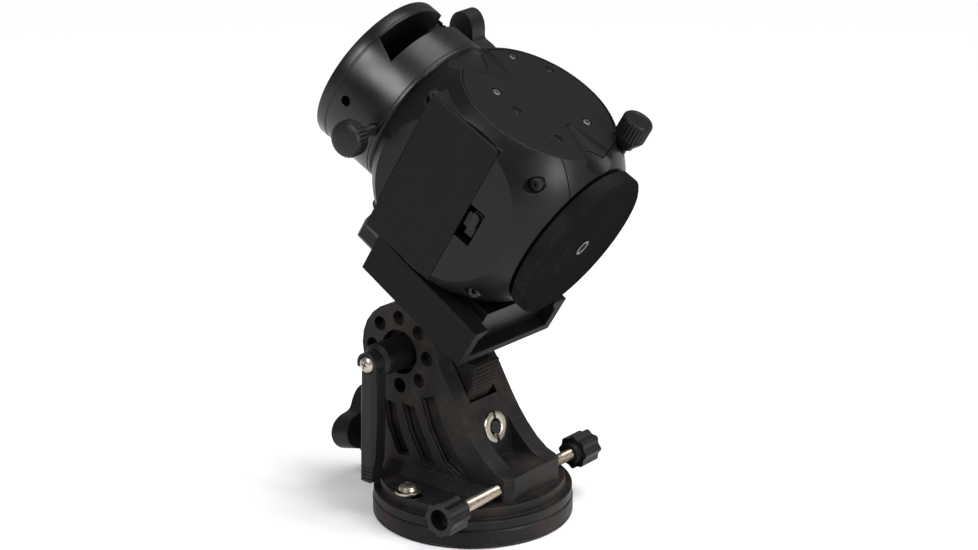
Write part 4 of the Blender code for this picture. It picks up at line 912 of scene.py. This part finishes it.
merge(outline("end_stop", [(-33.0, 50.0), (-33.0, 9.0), (10.5, 9.0), (10.5, 24.9), (22.2, 24.9), (24.6, 50.0)], 75.0, 84.0,
              HEAD_TO_DEC @ Matrix(((1, 0, 0, 0), (0, 0, 1, 0), (0, 1, 0, 0), (0, 0, 0, 1)))), bm)
bmesh.ops.recalc_face_normals(bm, faces=bm.faces)
boolean(slot_tool, "end_stop", bm)
slot_cut = ring.modifiers.new("slot", "BOOLEAN")
slot_cut.operation, slot_cut.object, slot_cut.solver = "DIFFERENCE", slot_tool, "EXACT"
bm = bmesh.new()
rod(bm, 3.4, 30, 45, HEAD_TO_DEC @ shift(0, 68, 12) @ ALONG_X, segs=12)
rod(bm, 2.9, 32, 50, HEAD_TO_DEC @ shift(0, 49.7, 0) @ Matrix.Rotation(math.radians(-90), 4, "Y"), segs=12)
rod(bm, 2.6, 28, 50, HEAD_TO_DEC @ Matrix.Rotation(math.radians(2.2), 4, "Y") @ shift(0, 69.0, 0) @ Matrix.Rotation(math.radians(-90), 4, "Y"), segs=10)
boolean(ring, "bores", bm)
finish(ring, "ring", DEC_AT, dec)
JAW_AT = HEAD_AT @ shift(25, 68, 0)
jaw_axis = holder("saddle_jaw_axis", JAW_AT)
jaw = link("saddle_jaw", outline("saddle_jaw", [(-2.0, -5.2), (5.6, -5.2), (5.6, 13.7), (-7.0, 13.7)], -23.0, 23.0))
bm = bmesh.new()
rod(bm, 3.5, -0.5, 8, shift(0, 0, 12) @ ALONG_X, segs=12)
boolean(jaw, "socket", bm)
finish(jaw, "satin", JAW_AT, jaw_axis)
STAR_AT = HEAD_AT @ shift(0, 68, 12) @ ALONG_X
star_axis = holder("saddle_knob_axis", STAR_AT)
star = link("saddle_knob", outline("saddle_knob", lobes(3, 13.4, 5.0, 33, -90), 45.0, 56.0))
bm = bmesh.new()
rod(bm, 3.0, 25.2, 50.0, segs=12)
boolean(star, "thread", bm, "UNION")
bm = bmesh.new()
rod(bm, 7.0, 51.3, 60.0, segs=14)
boolean(star, "hollow", bm)
finish(star, "plastic", STAR_AT, star_axis)
PIN_AT = HEAD_AT @ shift(0, 49.7, 0) @ Matrix.Rotation(math.radians(-90), 4, "Y")
threads, z = [], 53.2
while z > 41.0:
    threads += [(2.5, z), (2.5, z - 0.2), (2.1, z - 0.45), (2.1, z - 0.6)]
    z -= 0.8
pin = turned("ring_lock_knob", [(0, 62.5), (3.5, 62.45), (6.2, 62.1), (7.6, 61.5), (8.2, 60.6), (8.3, 59.8), (8.3, 54.8), (7.6, 53.6), (2.5, 53.4)] + threads +
             [(2.5, 40.0), (2.5, 33.0), (0, 33.0)], 18)
bm = bmesh.new()
merge(outline("flutes", lobes(28, 8.45, 0.22, 112), 54.9, 60.2), bm)
boolean(pin, "flutes", bm, "UNION")
finish(pin, "plastic", PIN_AT, holder("ring_lock_axis", PIN_AT))
disc_axis = holder("clutch_axis", DEC_AT)
disc = turned("clutch_disc", [(4.4, -51.6), (6.4, -51.6), (6.4, DISC_Y1), (DISC_R - 1.8, DISC_Y1), (DISC_R - 0.5, DISC_Y1 - 1.2), (DISC_R - 0.5, DISC_Y0 + 1.5),
                              (DISC_R - 0.8, DISC_Y0 + 0.9), (DISC_R - 1.6, DISC_Y0 + 0.3), (DISC_R - 2.6, DISC_Y0), (19.4, DISC_Y0), (19.2, DISC_Y0 + 0.45),
                              (18.2, DISC_Y0 + 0.45), (18.0, DISC_Y0 + 0.15), (5.6, DISC_Y0 + 0.15), (4.4, DISC_Y0 + 0.9)], 44, closed=True)
bm = bmesh.new()
knurl, teeth_round = [], 200
for i in range(teeth_round * 4):
    a = 360.0 * i / (teeth_round * 4)
    rough = not 20.0 < a < 78.0
    knurl.append(((DISC_R - 0.42 + (0.40 if rough and i % 4 in (0, 1) else 0.0)) * math.cos(math.radians(a)),
                  (DISC_R - 0.42 + (0.40 if rough and i % 4 in (0, 1) else 0.0)) * math.sin(math.radians(a))))
merge(outline("knurl", knurl, DISC_Y0 + 1.5, DISC_Y1 - 1.3), bm)
rod(bm, 30.0, -60, -40, segs=24)
core = bm
bm = bmesh.new()
merge(outline("knurl_only", knurl, DISC_Y0 + 1.5, DISC_Y1 - 1.3), bm)
core.free()
ring_band = link("clutch_band", mesh_from("clutch_band", bm), cutter=True)
bm = bmesh.new()
rod(bm, 36.0, -70, -30, segs=40)
hole = link("clutch_band_hole", mesh_from("clutch_band_hole", bm), cutter=True)
cut = ring_band.modifiers.new("hole", "BOOLEAN")
cut.operation, cut.object, cut.solver = "DIFFERENCE", hole, "EXACT"
weld = disc.modifiers.new("band", "BOOLEAN")
weld.operation, weld.object, weld.solver = "UNION", ring_band, "EXACT"
finish(disc, "disc", DEC_AT, disc_axis)
ins = turned("clutch_thread_insert", [(2.7, -52.4), (4.1, -52.4), (4.1, -53.9), (2.7, -53.9)], 14, closed=True)
finish(ins, "worn_steel", DEC_AT, disc_axis)


# --- CAD pieces that stay, mostly inside -----------------------------------------------------------
STAY = {"foot": "steel"}
INSIDE = {"polar_axle": "steel", "polar_worm_wheel": "brass", "polar_axle_nut": "steel", "polar_bearing": "steel", "polar_motor": "dark_steel",
          "declination_motor": "dark_steel", "declination_bearing_front": "steel", "declination_bearing_rear": "steel",
          "control_board": "board", "polar_worm": "dark_steel", "declination_worm": "dark_steel", "declination_worm_wheel": "brass",
          "azimuth_peg": "steel", "tripod_thread_insert": "steel"}
for name, look in INSIDE.items():
    node = frame["nodes"][name]
    node.data.materials.clear()
    node.data.materials.append(LOOK[look])

# --- floor, light and camera -------------------------------------------------------------------------
def pale(name, colour, rough):
    mat = bpy.data.materials.new(name)
    mat.use_nodes = True
    b = mat.node_tree.nodes["Principled BSDF"]
    b.inputs["Base Color"].default_value = (*colour, 1)
    b.inputs["Roughness"].default_value = rough
    b.inputs["Specular IOR Level"].default_value = 0.2
    return mat


floor_mesh = bpy.data.meshes.new("floor")
bm = bmesh.new()
bmesh.ops.create_grid(bm, x_segments=2, y_segments=2, size=6.0)
bm.to_mesh(floor_mesh)
bm.free()
floor = bpy.data.objects.new("floor", floor_mesh)
floor.location = (0, 0, -0.0002)
floor.data.materials.append(pale("pale_floor", (0.86, 0.86, 0.87), 0.65))
bpy.context.scene.collection.objects.link(floor)

world = bpy.data.worlds.new("studio")
world.use_nodes = True
world.node_tree.nodes["Background"].inputs["Color"].default_value = (1.0, 1.0, 1.0, 1.0)
world.node_tree.nodes["Background"].inputs["Strength"].default_value = 0.22
bpy.context.scene.world = world
bpy.context.scene.view_settings.view_transform = "Standard"


def softbox(name, where, look_at, width, height, power, colour=(1, 1, 1)):
    light = bpy.data.lights.new(name, "AREA")
    light.shape = "RECTANGLE"
    light.size, light.size_y, light.energy, light.color = width, height, power, colour
    obj = bpy.data.objects.new(name, light)
    obj.location = where
    obj.rotation_euler = (Vector(look_at) - Vector(where)).to_track_quat("-Z", "Y").to_euler()
    bpy.context.scene.collection.objects.link(obj)


sun = bpy.data.lights.new("overhead", "SUN")
sun.energy, sun.angle = 3.35, math.radians(50)
sun_obj = bpy.data.objects.new("overhead", sun)
sun_obj.rotation_euler = (math.radians(24), math.radians(14), 0)
bpy.context.scene.collection.objects.link(sun_obj)
softbox("softbox_left", (-0.76, 0.01, 0.74), (0, 0, 0.20), 0.20, 0.42, 7.0, (1.0, 0.97, 1.0))
softbox("softbox_front", (0.02, -0.98, 0.36), (0, 0, 0.18), 0.20, 0.34, 5.5, (1.0, 0.97, 1.0))

az, el = math.radians(38.57), math.radians(17.29)
toward = Vector((-math.cos(az) * math.cos(el), -math.sin(az) * math.cos(el), math.sin(el)))
right = Vector((math.sin(az), -math.cos(az), 0))
up = toward.cross(right)
cam_data = bpy.data.cameras.new("camera")
cam_data.sensor_width = 36.0
cam_data.lens = 71.45
cam_data.clip_start, cam_data.clip_end = 0.01, 50.0
cam = bpy.data.objects.new("camera", cam_data)
bpy.context.scene.collection.objects.link(cam)
m = Matrix.Identity(4)
for r in range(3):
    m[r][0], m[r][1], m[r][2] = right[r], up[r], toward[r]
m.translation = Vector((-0.6878, -0.5630, 0.4000))
cam.matrix_world = m
bpy.context.scene.camera = cam
